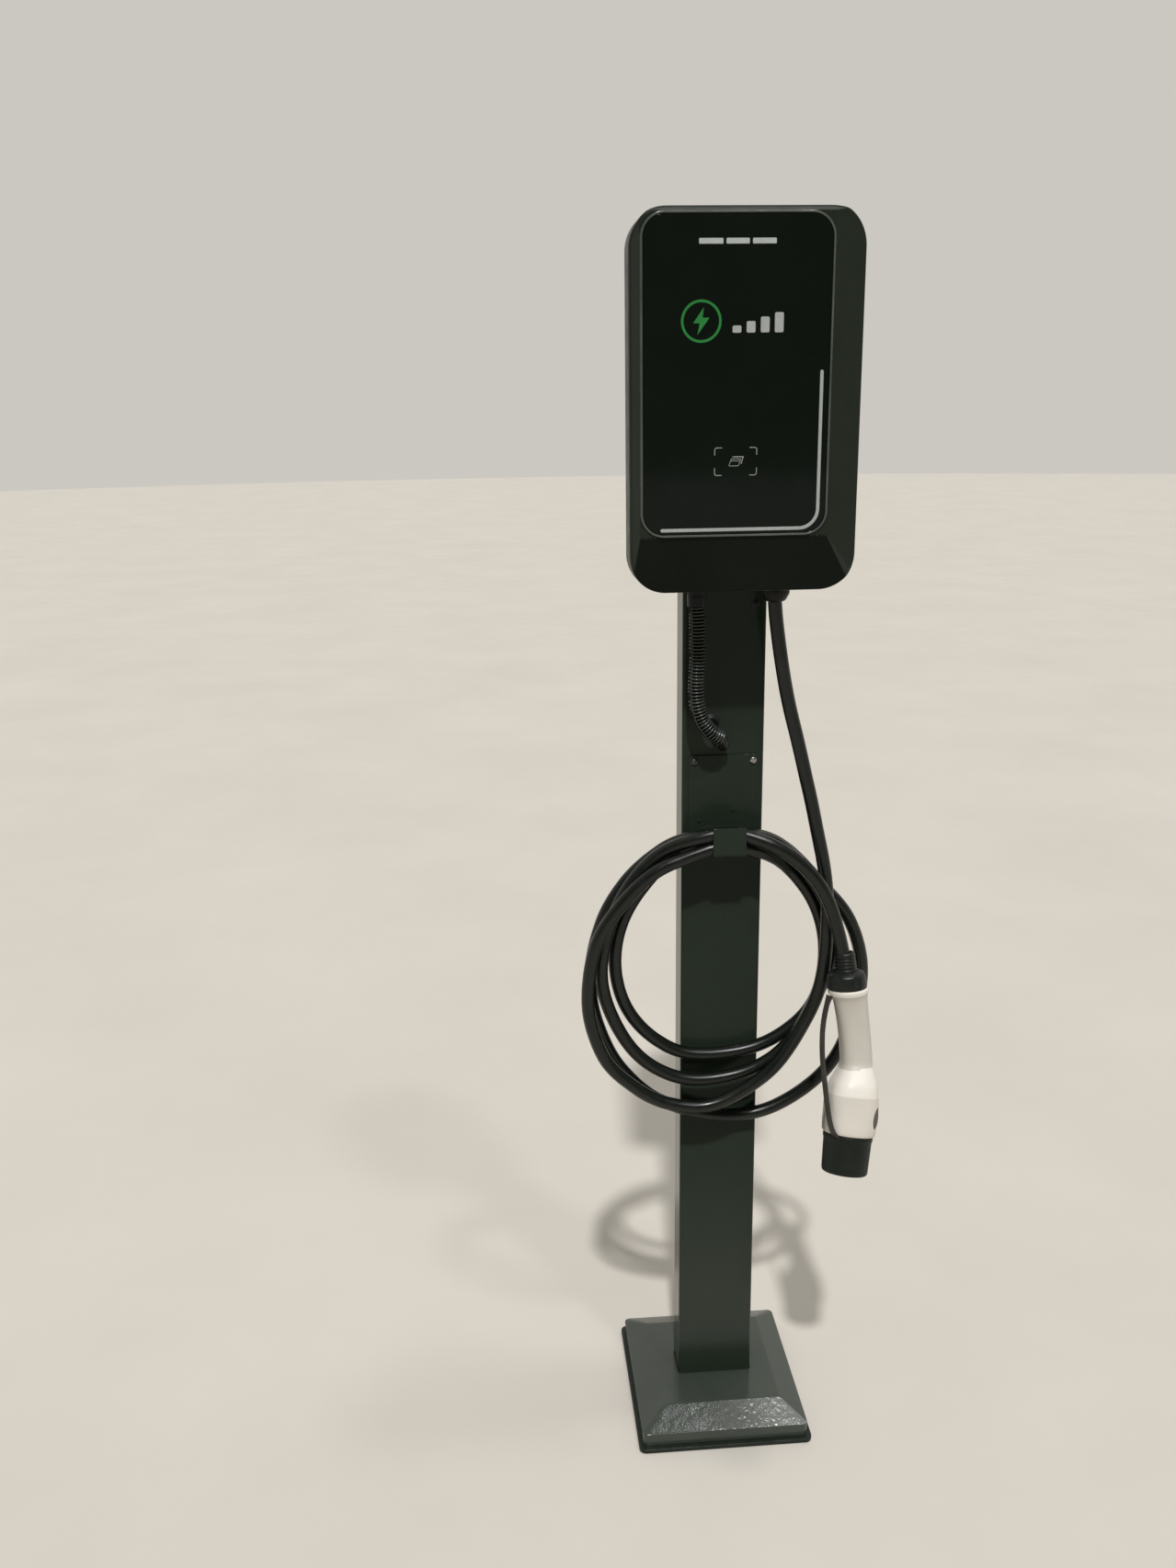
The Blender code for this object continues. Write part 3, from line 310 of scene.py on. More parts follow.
# darker steel for the hook screw that lies in the conduit's shadow: painted shade
STEEL_PAINTED_SHADE = surface("screw_steel_painted_shade", [(0.060, 0.065, 0.060), (0.11, 0.115, 0.108)], (0.30, 0.45), metal=1.0,
                     col_scale=160.0, grain=(2400.0, 0.12, 0.0002))
STEEL = surface("screw_steel", [(0.30, 0.295, 0.275), (0.42, 0.41, 0.39), (0.50, 0.49, 0.47)], (0.20, 0.36), metal=1.0,
                col_scale=160.0, grain=(2400.0, 0.12, 0.0002))
BRASS = surface("silvered_brass", [(0.58, 0.50, 0.34), (0.72, 0.66, 0.50), (0.78, 0.74, 0.64)], (0.20, 0.34), metal=1.0,
                col_scale=120.0, grain=(2200.0, 0.10, 0.0002))
WHITE = surface("gun_white", [(0.690, 0.653, 0.587), (0.725, 0.687, 0.620), (0.760, 0.722, 0.653)], (0.34, 0.46),
                col_scale=15.0, grain=(1500.0, 0.10, 0.00025), wave=(60.0, 0.03, 0.0005), spec=0.34,
                speck=(620.0, (0.56, 0.525, 0.465), 0.745))
# darker copies of the gun white for the grip and the head: painted shade, darkest on the grip
WHITE_PAINTED_SHADE_GRIP = surface("gun_white_painted_shade_grip", [(0.478, 0.448, 0.393), (0.504, 0.473, 0.417), (0.530, 0.498, 0.442)], (0.38, 0.50),
                     col_scale=15.0, grain=(1500.0, 0.12, 0.00025), wave=(60.0, 0.03, 0.0005), spec=0.30,
                     speck=(620.0, (0.40, 0.372, 0.320), 0.745))
WHITE_PAINTED_SHADE_HEAD = surface("gun_white_painted_shade_head", [(0.600, 0.565, 0.502), (0.630, 0.594, 0.530), (0.660, 0.623, 0.558)], (0.36, 0.48),
                     col_scale=15.0, grain=(1500.0, 0.10, 0.00025), wave=(60.0, 0.03, 0.0005), spec=0.32,
                     speck=(620.0, (0.50, 0.47, 0.41), 0.745))
CHEEK = surface("cheek_grey", [(0.20, 0.205, 0.195), (0.235, 0.24, 0.228), (0.27, 0.275, 0.262)], (0.34, 0.48), col_scale=25.0,
                grain=(1400.0, 0.18, 0.0003))
GREY = surface("grey_moulding", [(0.155, 0.158, 0.145), (0.185, 0.188, 0.174), (0.21, 0.212, 0.198)], (0.34, 0.48), col_scale=25.0,
               grain=(1400.0, 0.18, 0.0003))
BUTTON = surface("button_grey", [(0.050, 0.043, 0.038), (0.072, 0.062, 0.056)], (0.34, 0.5), col_scale=50.0,
                 grain=(1500.0, 0.25, 0.0003))
SEAL = surface("seal_foam", [(0.010, 0.010, 0.010), (0.022, 0.022, 0.021)], (0.62, 0.82), col_scale=90.0,
               grain=(900.0, 0.5, 0.0004))
GALV = surface("bracket_steel", [(0.34, 0.345, 0.35), (0.46, 0.465, 0.47), (0.56, 0.565, 0.57)], (0.28, 0.50), metal=1.0,
               col_scale=34.0, grain=(700.0, 0.15, 0.0004))
GREEN_INK = surface("pictogram_green", [(0.012, 0.175, 0.030), (0.020, 0.225, 0.042)], (0.30, 0.42), col_scale=120.0,
                    grain=(1500.0, 0.06, 0.0002))
PALE_INK = surface("pictogram_grey", [(0.34, 0.355, 0.34), (0.42, 0.435, 0.42)], (0.30, 0.42), col_scale=120.0,
                   grain=(1500.0, 0.06, 0.0002))
DIM_INK = surface("reader_mark_grey", [(0.26, 0.28, 0.26), (0.33, 0.35, 0.33)], (0.28, 0.40), col_scale=120.0,
                  grain=(1500.0, 0.06, 0.0002))
def board_material():
    """Circuit board: green resist over copper tracks, with pale pads."""
    m, nt, b = nodes_of("board_green")
    vec = coords(nt)
    br = nt.nodes.new("ShaderNodeTexBrick")
    br.inputs["Scale"].default_value = 60.0
    br.inputs["Mortar Size"].default_value = 0.02
    br.inputs["Color1"].default_value = (0.012, 0.085, 0.030, 1)
    br.inputs["Color2"].default_value = (0.016, 0.110, 0.038, 1)
    br.inputs["Mortar"].default_value = (0.05, 0.17, 0.07, 1)
    turn = coords(nt, turn=(math.pi / 2, 0, 0))
    nt.links.new(turn, br.inputs["Vector"])
    pads = span(nt, noise_of(nt, vec, 260.0, 0.0, 0.5), 0.0, 1.0, 0.72, 0.75)
    mx = nt.nodes.new("ShaderNodeMix")
    mx.data_type = 'RGBA'
    nt.links.new(pads, mx.inputs[0])
    nt.links.new(br.outputs["Color"], mx.inputs[6])
    mx.inputs[7].default_value = (0.55, 0.54, 0.48, 1)
    nt.links.new(mx.outputs[2], b.inputs["Base Color"])
    nt.links.new(span(nt, noise_of(nt, vec, 40.0), 0.28, 0.42), b.inputs["Roughness"])
    nt.links.new(bump_of(nt, br.outputs["Fac"], 0.2, 0.0002), b.inputs["Normal"])
    return m


BOARD = board_material()
FLOOR = surface("studio_floor", [(0.520, 0.490, 0.441), (0.543, 0.513, 0.462), (0.566, 0.535, 0.483)], (0.50, 0.70),
                col_scale=1.6, grain=(220.0, 0.05, 0.0006), spec=0.25)

# ================================================================= making pieces
def finish_mesh(name, bm, mat, smooth=38.0):
    bmesh.ops.recalc_face_normals(bm, faces=bm.faces)
    me = bpy.data.meshes.new(name)
    bm.to_mesh(me)
    bm.free()
    ob = bpy.data.objects.new(name, me)
    SCENE.collection.objects.link(ob)
    for m in (mat if isinstance(mat, (list, tuple)) else [mat]):
        me.materials.append(m)
    me.shade_smooth()
    if smooth is not None:
        me.set_sharp_from_angle(angle=math.radians(smooth))
        level_large(me)
    return ob


def level_large(me, area=70e-6):
    """Large flat faces keep their own normal, so that a rounded edge doesn't bend their reflections."""
    for f in me.polygons:
        if f.area > area:
            f.use_smooth = False


def settle(ob, smooth=38.0):
    """Apply an object's modifiers, so that the piece is its finished mesh."""
    bpy.context.view_layer.update()
    ev = ob.evaluated_get(bpy.context.evaluated_depsgraph_get())
    me = bpy.data.meshes.new_from_object(ev)
    mats = list(ob.data.materials)
    ob.modifiers.clear()
    ob.data = me
    me.materials.clear()
    for m in mats:
        me.materials.append(m)
    me.shade_smooth()
    if smooth is not None:
        me.set_sharp_from_angle(angle=math.radians(smooth))
    level_large(me)
    return ob


def soften(ob, width, segs=3, angle=32.0):
    b = ob.modifiers.new("edges", 'BEVEL')
    b.width = width * MM
    b.segments = segs
    b.limit_method = 'ANGLE'
    b.angle_limit = math.radians(angle)
    b.harden_normals = False
    b.use_clamp_overlap = True
    return ob


def loft(name, rings, mat, closed=False, caps=True, smooth=38.0):
    bm = bmesh.new()
    vr = [[bm.verts.new(W(p)) for p in ring] for ring in rings]
    n = len(rings[0])
    pairs = list(zip(vr[:-1], vr[1:])) + ([(vr[-1], vr[0])] if closed else [])
    for a, b in pairs:
        for i in range(n):
            j = (i + 1) % n
            bm.faces.new((a[i], a[j], b[j], b[i]))
    if caps and not closed:
        bm.faces.new(list(reversed(vr[0])))
        bm.faces.new(vr[-1])
    return finish_mesh(name, bm, mat, smooth)


def frame_of(direction, hint=(1, 0, 0)):
    d = Vector(direction).normalized()
    h = Vector(hint)
    if abs(d.dot(h.normalized())) > 0.98:
        h = Vector((0, 1, 0))
    u = (h - d * d.dot(h)).normalized()
    return u, d.cross(u), d


def revolve(name, profile, at, direction, mat, steps=64, ring=False, shape=None, smooth=38.0, hint=(1, 0, 0)):
    """Profile of (radius, height) turned about an axis; shape(angle, r, h) may change the radius on the way."""
    u, v, d = frame_of(direction, hint)
    at = Vector(at)
    bm = bmesh.new()
    cols = []
    for k in range(steps):
        t = 2 * math.pi * k / steps
        e = u * math.cos(t) + v * math.sin(t)
        cols.append((t, e))
    rows = []
    for r, h in profile:
        if r < 1e-6:
            rows.append([bm.verts.new(W(at + d * h))])
        else:
            rows.append([bm.verts.new(W(at + d * h + e * (shape(t, r, h) if shape else r))) for t, e in cols])
    pairs = list(zip(rows[:-1], rows[1:])) + ([(rows[-1], rows[0])] if ring else [])
    for a, b in pairs:
        if len(a) == 1 and len(b) == 1:
            continue
        for i in range(steps):
            j = (i + 1) % steps
            if len(a) == 1:
                bm.faces.new((a[0], b[j], b[i]))
            elif len(b) == 1:
                bm.faces.new((a[i], a[j], b[0]))
            else:
                bm.faces.new((a[i], a[j], b[j], b[i]))
    return finish_mesh(name, bm, mat, smooth)


def rounded(profile, radius, n=4):
    """Round a profile's corners with arcs of up to this radius."""
    out = [profile[0]]
    for i in range(1, len(profile) - 1):
        a, b, c = Vector(profile[i - 1]), Vector(profile[i]), Vector(profile[i + 1])
        la, lc = (a - b).length, (c - b).length
        if la < 1e-6 or lc < 1e-6:
            continue
        r = min(radius, la * 0.45, lc * 0.45)
        p0, p1 = b + (a - b) * (r / la), b + (c - b) * (r / lc)
        for k in range(n + 1):
            t = k / n
            out.append(tuple(p0 * (1 - t) ** 2 + b * (2 * t * (1 - t)) + p1 * t * t))
    out.append(profile[-1])
    return out


def rr(hx, hz, r, n=12, cx=0.0, cz=0.0, side=0):
    """Rounded rectangle, anticlockwise from the right end of the upper right arc; side adds points along the sides."""
    pts = []
    corners = ((1, 1, 0), (-1, 1, 90), (-1, -1, 180), (1, -1, 270))
    for q, (sx, sz, a0) in enumerate(corners):
        for k in range(n):
            a = math.radians(a0 + 90.0 * k / (n - 1))
            pts.append((cx + sx * (hx - r) + r * math.cos(a), cz + sz * (hz - r) + r * math.sin(a)))
        if side:
            a = math.radians(a0 + 90.0)
            p = Vector(pts[-1])
            nx, nz = corners[(q + 1) % 4][0], corners[(q + 1) % 4][1]
            e = Vector((cx + nx * (hx - r) + r * math.cos(a), cz + nz * (hz - r) + r * math.sin(a)))
            for k in range(1, side + 1):
                pts.append(tuple(p.lerp(e, k / (side + 1))))
    return pts


def xz(points, y):
    return [(x, y, z) for x, z in points]


def xy(points, z):
    return [(x, y, z) for x, y in points]


def plate(name, loops, y_back, y_front, mat, edge=0.3):
    """Sheet in the XZ plane cut to the loops (first outside, the rest holes), with softened edges."""
    cu = bpy.data.curves.new(name + "_outline", 'CURVE')
    cu.dimensions = '2D'
    cu.fill_mode = 'BOTH'
    thick = abs(y_back - y_front)
    cu.extrude = (thick / 2 - edge) * MM
    cu.bevel_depth = edge * MM
    cu.bevel_resolution = 2
    cu.offset = -edge * MM
    for loop in loops:
        sp = cu.splines.new('POLY')
        sp.points.add(len(loop) - 1)
        for q, p in zip(sp.points, loop):
            q.co = (p[0] * MM, p[1] * MM, 0, 1)
        sp.use_cyclic_u = True
    ob = bpy.data.objects.new(name + "_outline", cu)
    SCENE.collection.objects.link(ob)
    bpy.context.view_layer.update()
    me = bpy.data.meshes.new_from_object(ob.evaluated_get(bpy.context.evaluated_depsgraph_get()))
    bpy.data.objects.remove(ob, do_unlink=True)
    mid = (y_back + y_front) / 2
    bm = bmesh.new()
    bm.from_mesh(me)
    bmesh.ops.remove_doubles(bm, verts=bm.verts, dist=0.000005)
    for v in bm.verts:
        x, z, t = v.co
        v.co = (x, (mid + SHIFT_Y) * MM - t, z)
    bpy.data.meshes.remove(me)
    out = finish_mesh(name, bm, mat, 40.0)
    for f in out.data.polygons:
        if abs(f.normal.y) > 0.999:
            f.use_smooth = False
    out.data.materials.clear()
    out.data.materials.append(mat)
    return out


def tube(name, pts, radius, mat, sides=24, caps=True, smooth=60.0):
    """Round tube along points; radius is a number or a function of (index, arc length)."""
    pts = [Vector(p) for p in pts]
    n = len(pts)
    s = [0.0]
    for a, b in zip(pts[:-1], pts[1:]):
        s.append(s[-1] + (b - a).length)
    bm = bmesh.new()
    rings = []
    normal = None
    for i, p in enumerate(pts):
        t = (pts[min(i + 1, n - 1)] - pts[max(i - 1, 0)]).normalized()
        if normal is None:
            normal = frame_of(t)[0]
        normal = (normal - t * normal.dot(t)).normalized()
        other = t.cross(normal)
        r = radius(i, s[i]) if callable(radius) else radius
        rings.append([bm.verts.new(W(p + (normal * math.cos(2 * math.pi * k / sides)
                                          + other * math.sin(2 * math.pi * k / sides)) * r)) for k in range(sides)])
    for a, b in zip(rings[:-1], rings[1:]):
        for k in range(sides):
            j = (k + 1) % sides
            bm.faces.new((a[k], a[j], b[j], b[k]))
    if caps:
        bm.faces.new(list(reversed(rings[0])))
        bm.faces.new(rings[-1])
    return finish_mesh(name, bm, mat, smooth)


def catmull(points, step):
    p = [Vector(q) for q in points]
    p = [p[0] * 2 - p[1]] + p + [p[-1] * 2 - p[-2]]
    fine = []
    for i in range(1, len(p) - 2):
        a, b, c, d = p[i - 1], p[i], p[i + 1], p[i + 2]
        for k in range(16):
            t = k / 16.0
            fine.append((b * 2 + (c - a) * t + (a * 2 - b * 5 + c * 4 - d) * (t * t) + (b * 3 - a - c * 3 + d) * (t ** 3)) * 0.5)
    fine.append(p[-2])
    s = [0.0]
    for a, b in zip(fine[:-1], fine[1:]):
        s.append(s[-1] + (b - a).length)
    n = max(2, int(round(s[-1] / step)) + 1)
    out, j = [], 0
    for k in range(n):
        t = s[-1] * k / (n - 1)
        while j < len(s) - 2 and s[j + 1] < t:
            j += 1
        f = (t - s[j]) / max(1e-9, s[j + 1] - s[j])
        out.append(fine[j].lerp(fine[j + 1], min(1.0, max(0.0, f))))
    return out


def bool_cut(ob, tools, smooth=38.0):
    for t in tools:
        m = ob.modifiers.new("cut", 'BOOLEAN')
        m.operation = 'DIFFERENCE'
        m.solver = 'EXACT'
        m.object = t
    settle(ob, smooth)
    for t in tools:
        bpy.data.objects.remove(t, do_unlink=True)
    return ob


def prism(name, at, direction, hint, outline, depth, mat=None):
    """Straight-sided solid: outline in the plane across 'direction', running back from 'at'."""
    u, v, d = frame_of(direction, hint)
    at = Vector(at)
    bm = bmesh.new()
    top = [bm.verts.new(W(at + u * a + v * b + d * 1.5)) for a, b in outline]
    low = [bm.verts.new(W(at + u * a + v * b - d * depth)) for a, b in outline]
    n = len(outline)
    for i in range(n):
        j = (i + 1) % n
        bm.faces.new((top[i], top[j], low[j], low[i]))
    bm.faces.new(list(reversed(top)))
    bm.faces.new(low)
    return finish_mesh(name, bm, mat or STEEL)


def screw(name, at, direction, r, h, mat=STEEL, turn=0.4):
    """Pan head with a cross recess."""
    prof = [(0.0, h), (r * 0.35, h * 0.985), (r * 0.62, h * 0.92), (r * 0.82, h * 0.76), (r * 0.94, h * 0.50),
            (r, h * 0.22), (r, 0.0), (r * 0.45, 0.0), (r * 0.45, -2.2), (0.0, -2.2)]
    ob = revolve(name, prof, at, direction, mat, steps=36)
    u, v, d = frame_of(direction)
    u2 = u * math.cos(turn) + v * math.sin(turn)
    top = Vector(at) + d * h
    a, b = r * 0.56, r * 0.13
    tools = []
    for k in range(2):
        hint = u2 if k == 0 else d.cross(u2)
        tools.append(prism(name + "_slot%d" % k, top, d, hint, [(a, b), (-a, b), (-a, -b), (a, -b)], h * 0.62))
    return bool_cut(ob, tools)


def post_piece(ob, *nodes, slot=None, body="post"):
    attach(ob, body)
    if nodes:
        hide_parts(*nodes)
    return ob


# ================================================================= the charging cable
ROUTE = (
    (51.0, -62.0, 1118.0), (53.0, -61.8, 1098.1), (55.8, -61.4, 1078.3), (58.9, -61.1, 1058.6),
    (62.3, -61.0, 1038.9), (66.0, -60.7, 1019.3), (70.2, -60.6, 999.8), (75.0, -60.5, 980.4), (80.2, -60.6, 961.1),
    (85.2, -60.7, 941.7), (90.0, -60.9, 922.3), (94.7, -61.3, 902.9), (99.5, -61.8, 883.5), (103.9, -62.6, 864.1),
    (108.0, -63.6, 844.5), (112.3, -64.4, 825.0), (116.5, -65.3, 805.5), (119.9, -66.3, 785.9),
    (122.3, -67.7, 766.1), (123.7, -69.1, 746.2), (124.2, -70.4, 726.3), (124.0, -71.1, 706.3),
    (123.4, -71.1, 686.4), (122.0, -70.8, 666.4), (119.4, -70.6, 646.6), (114.9, -70.5, 627.2),
    (108.1, -70.4, 608.4), (99.7, -70.3, 590.2), (90.7, -70.3, 572.4), (80.8, -70.2, 555.1), (69.7, -70.2, 538.5),
    (56.5, -70.2, 523.5), (41.2, -70.1, 510.6), (24.7, -70.1, 499.4), (7.3, -70.1, 489.5), (-11.1, -70.1, 482.0),
    (-30.8, -70.0, 478.7), (-50.7, -70.0, 480.1), (-70.1, -70.0, 484.9), (-88.6, -70.0, 492.4),
    (-105.5, -70.0, 503.0), (-120.8, -70.0, 515.8), (-135.5, -70.0, 529.4), (-148.0, -70.0, 544.9),
    (-157.1, -70.0, 562.7), (-163.8, -70.0, 581.5), (-168.8, -70.0, 600.8), (-171.6, -70.0, 620.6),
    (-171.9, -70.1, 640.6), (-170.3, -70.1, 660.5), (-167.3, -70.1, 680.2), (-162.6, -70.2, 699.7),
    (-155.3, -70.2, 718.2), (-145.3, -70.3, 735.5), (-133.5, -70.4, 751.7), (-120.8, -70.4, 767.0),
    (-106.9, -70.4, 781.4), (-91.5, -70.3, 794.0), (-74.2, -70.3, 804.0), (-55.5, -70.3, 811.2),
    (-36.7, -70.2, 817.9), (-17.6, -69.8, 823.5), (2.3, -69.6, 824.5), (21.9, -67.9, 821.3), (40.1, -62.8, 814.8),
    (56.1, -55.0, 805.8), (70.5, -46.7, 794.7), (83.7, -40.1, 781.3), (96.4, -37.5, 766.1), (107.8, -37.7, 749.7),
    (117.0, -37.8, 732.0), (123.9, -37.6, 713.3), (128.5, -37.5, 693.8), (130.6, -37.4, 674.0),
    (130.5, -37.3, 654.0), (128.2, -37.3, 634.2), (123.6, -37.4, 614.8), (115.5, -37.4, 596.5),
    (103.6, -37.4, 580.6), (88.9, -37.4, 567.0), (72.5, -37.5, 555.6), (54.7, -37.5, 546.6), (35.7, -37.5, 540.5),
    (16.0, -37.5, 537.0), (-3.9, -37.5, 535.3), (-23.8, -37.5, 535.4), (-43.6, -37.5, 537.9), (-62.4, -37.5, 544.7),
    (-79.2, -37.5, 555.5), (-94.4, -37.5, 568.4), (-107.6, -37.5, 583.4), (-118.4, -37.4, 600.1),
    (-126.5, -37.4, 618.4), (-131.8, -37.4, 637.6), (-134.6, -37.3, 657.4), (-134.7, -37.2, 677.4),
    (-132.2, -37.1, 697.2), (-127.1, -37.0, 716.5), (-119.5, -36.9, 734.9), (-109.5, -36.7, 752.2),
    (-97.7, -36.5, 768.4), (-84.8, -36.2, 783.6), (-70.6, -35.9, 797.6), (-54.9, -35.6, 810.1),
    (-38.1, -35.8, 820.8), (-19.4, -36.3, 827.5), (0.5, -36.5, 829.6), (20.4, -36.5, 829.5), (40.3, -36.4, 827.2),
    (59.1, -36.3, 820.8), (76.0, -36.4, 810.1), (90.9, -36.4, 796.8), (104.5, -36.4, 782.2), (117.5, -36.6, 767.0),
    (130.6, -36.8, 751.9), (143.8, -37.0, 737.0), (155.7, -37.1, 720.9), (164.8, -37.2, 703.2),
    (171.8, -37.3, 684.4), (176.8, -37.3, 665.1), (179.5, -37.4, 645.3), (179.6, -37.4, 625.4),
    (177.2, -37.4, 605.5), (172.9, -37.5, 586.0), (167.6, -37.5, 566.8), (161.4, -37.5, 547.8),
    (153.6, -37.5, 529.4), (143.3, -37.5, 512.3), (130.5, -37.5, 497.0), (115.8, -37.5, 483.4), (99.8, -37.5, 471.5),
    (82.7, -37.5, 461.2), (64.5, -37.5, 452.9), (45.2, -37.5, 447.7), (25.4, -37.5, 445.8), (5.4, -37.5, 446.2),
    (-14.4, -37.5, 448.9), (-33.7, -37.5, 453.7), (-52.6, -37.5, 460.4), (-70.8, -37.5, 468.5),
    (-88.0, -37.5, 478.7), (-103.2, -37.5, 491.7), (-116.7, -37.5, 506.3), (-129.2, -37.5, 522.0),
    (-139.7, -37.5, 538.9), (-148.1, -37.5, 557.0), (-155.0, -37.5, 575.8), (-160.7, -37.5, 594.9),
    (-164.7, -37.5, 614.5), (-166.2, -37.6, 634.4), (-165.6, -37.6, 654.4), (-163.5, -37.6, 674.2),
    (-159.6, -37.7, 693.8), (-154.1, -37.7, 713.0), (-147.2, -37.8, 731.8), (-138.0, -37.9, 749.5),
    (-127.0, -38.0, 766.2), (-114.6, -38.2, 781.8), (-100.3, -38.3, 795.7), (-84.6, -38.5, 808.1),
    (-68.4, -40.9, 819.5), (-51.0, -46.0, 827.9), (-32.2, -50.9, 832.3), (-12.5, -53.8, 834.0), (7.4, -54.3, 833.8),
    (27.4, -54.0, 832.3), (46.9, -53.8, 828.2), (64.8, -53.7, 819.6), (80.3, -53.6, 806.9), (93.9, -53.3, 792.4),
    (106.2, -52.9, 776.6), (117.1, -52.6, 759.8), (126.1, -52.6, 742.0), (132.9, -52.9, 723.3),
    (136.7, -53.2, 703.7), (136.9, -53.4, 683.7), (134.1, -53.7, 664.0), (128.8, -53.8, 644.7),
    (121.8, -53.8, 626.0), (114.0, -53.8, 607.6), (105.8, -53.9, 589.4), (96.3, -53.9, 571.8), (84.8, -53.9, 555.5),
    (71.2, -53.9, 540.9), (55.2, -53.9, 529.0), (37.4, -53.9, 519.9), (18.5, -53.9, 513.6), (-1.2, -53.9, 510.0),
    (-21.1, -53.9, 508.3), (-41.0, -54.0, 509.2), (-60.3, -54.0, 514.1), (-78.4, -54.0, 522.7),
    (-94.9, -54.0, 533.9), (-109.3, -54.0, 547.7), (-121.4, -54.0, 563.6), (-131.4, -54.0, 580.9),
    (-139.8, -54.0, 599.0), (-146.7, -54.0, 617.7), (-151.6, -54.0, 637.1), (-153.7, -54.1, 657.0),
    (-152.9, -54.1, 676.9), (-149.8, -54.1, 696.6), (-145.0, -54.2, 716.0), (-138.6, -54.2, 734.9),
    (-130.4, -54.3, 753.2), (-120.7, -54.5, 770.6), (-109.2, -54.7, 786.9), (-95.6, -54.7, 801.6),
    (-80.4, -55.8, 814.5), (-63.7, -59.5, 824.7), (-45.8, -64.4, 832.0), (-27.0, -67.9, 837.9), (-7.4, -68.9, 841.3),
    (12.5, -70.3, 840.3), (31.3, -75.3, 836.1), (49.3, -81.0, 829.5), (66.4, -83.9, 819.8), (82.2, -85.2, 807.6),
    (96.5, -86.3, 793.8), (108.7, -87.4, 778.0), (118.1, -88.5, 760.4), (125.4, -89.7, 741.9), (131.2, -90.9, 722.9),
    (136.1, -92.4, 703.9), (139.8, -94.6, 684.6), (142.3, -97.3, 665.2), (144.3, -100.6, 645.6),
    (146.1, -104.3, 626.1), (148.0, -108.4, 606.7), (150.1, -112.8, 587.3), (152.2, -117.4, 568.0),)
CABLE_R = 8.2
cu = bpy.data.curves.new("charging_cable", 'CURVE')
cu.dimensions = '3D'
cu.resolution_u = 4
cu.render_resolution_u = 4
cu.bevel_depth = CABLE_R * MM
cu.bevel_resolution = 7
cu.use_fill_caps = True
sp = cu.splines.new('BEZIER')
sp.bezier_points.add(len(ROUTE) - 1)
for q, p in zip(sp.bezier_points, ROUTE):
    q.co = W(p)
    q.handle_left_type = q.handle_right_type = 'AUTO'
sp.use_smooth = True
cu.materials.append(CABLE)
cable = bpy.data.objects.new("charging_cable", cu)
SCENE.collection.objects.link(cable)
post_piece(cable, "charging_cable_lead", "charging_cable_coil", "charging_cable_tail", slot="cable_black")

# ================================================================= base
BASE_Z = 6.3
base = loft("floor_plate", [xy(rr(116, 125, 9, 10), 0.0), xy(rr(116, 125, 9, 10), 6.0)], PLATE_PAINT)
soften(base, 0.9, 3)
settle(base)
post_piece(base, "base_plate", slot="post_paint")


def crinkle(x, y, amp):
    """Small unevenness of the folded thin sheet."""
    p = Vector((x * 0.045, y * 0.045, 3.1))
    q = Vector((x * 0.14, y * 0.11, 7.7))
    return amp * (noise.noise(p) + 0.55 * noise.noise(q))


def cover_piece():
    side = 30
    n = 6
    skirt = rr(111, 118, 7, n, side=side)
    top = rr(79.2, 82.8, 2.0, n, side=side)
    hole = rr(50.4, 25.4, 4.4, n, side=side)
    rings = []
    for z in (6.3, 9.0, 13.0, 17.5, 21.0, 23.0):
        bow = 0.35 * math.sin(math.pi * (z - 6.3) / 17.0)
        rings.append([(x, y, z) for x, y in rr(111 - bow, 118 - bow, 7, n, side=side)])
    steps = 16
    for k in range(0, steps + 1):
        t = k / steps
        w = math.sin(math.pi * t) ** 0.6 if 0 < t < 1 else 0.0
        ring = []
        for (xa, ya), (xb, yb) in zip(skirt, top):
            x, y = xa + (xb - xa) * t, ya + (yb - ya) * t
            z = 23.6 + (40.3 - 23.6) * t
            front = min(1.0, max(0.0, (-y - 84.0) / 8.0))
            ring.append((x, y, z + w * crinkle(x, y, 0.05 + 0.40 * front)))
        rings.append(ring)
    for k in range(1, 9):
        t = k / 8.0
        ring = []
        for (xa, ya), (xb, yb) in zip(top, hole):
            x, y = xa + (xb - xa) * t, ya + (yb - ya) * t
            w = math.sin(math.pi * t)
            ring.append((x, y, 40.3 + w * crinkle(x, y, 0.05)))
        rings.append(ring)
    rings.append(xy(hole, 39.1))
    rings.append(xy(rr(78.4, 82.0, 1.6, n, side=side), 39.1))
    rings.append(xy(rr(109.8, 116.8, 5.8, n, side=side), 22.8))
    rings.append(xy(rr(109.8, 116.8, 5.8, n, side=side), 6.3))
    return loft("base_shroud", rings, COVER_PAINT, closed=True, smooth=24.0)


cover = cover_piece()
soften(cover, 0.4, 2, 16.0)
settle(cover, 30.0)
cover.data.materials.append(CREASED_PAINT)
for f in cover.data.polygons:
    fc, fn = f.center, f.normal
    if fn.y < -0.12 and fn.z > 0.3 and 0.024 < fc.z < 0.0402 and fc.y - SHIFT_Y * MM < -0.0835:
        f.material_index = 1
post_piece(cover, "base_cover", slot="post_paint")

# ================================================================= post
tube_out, tube_in = rr(50, 25, 4, 10), rr(47.5, 22.5, 2, 10)
post = loft("post_profile", [xy(tube_out, 6.6), xy(tube_out, 1500.0), xy(tube_in, 1500.0), xy(tube_in, 6.6)], POST_PAINT, closed=True)
soften(post, 0.35, 2, 60.0)
settle(post)
post_piece(post, "post_tube", slot="post_paint")

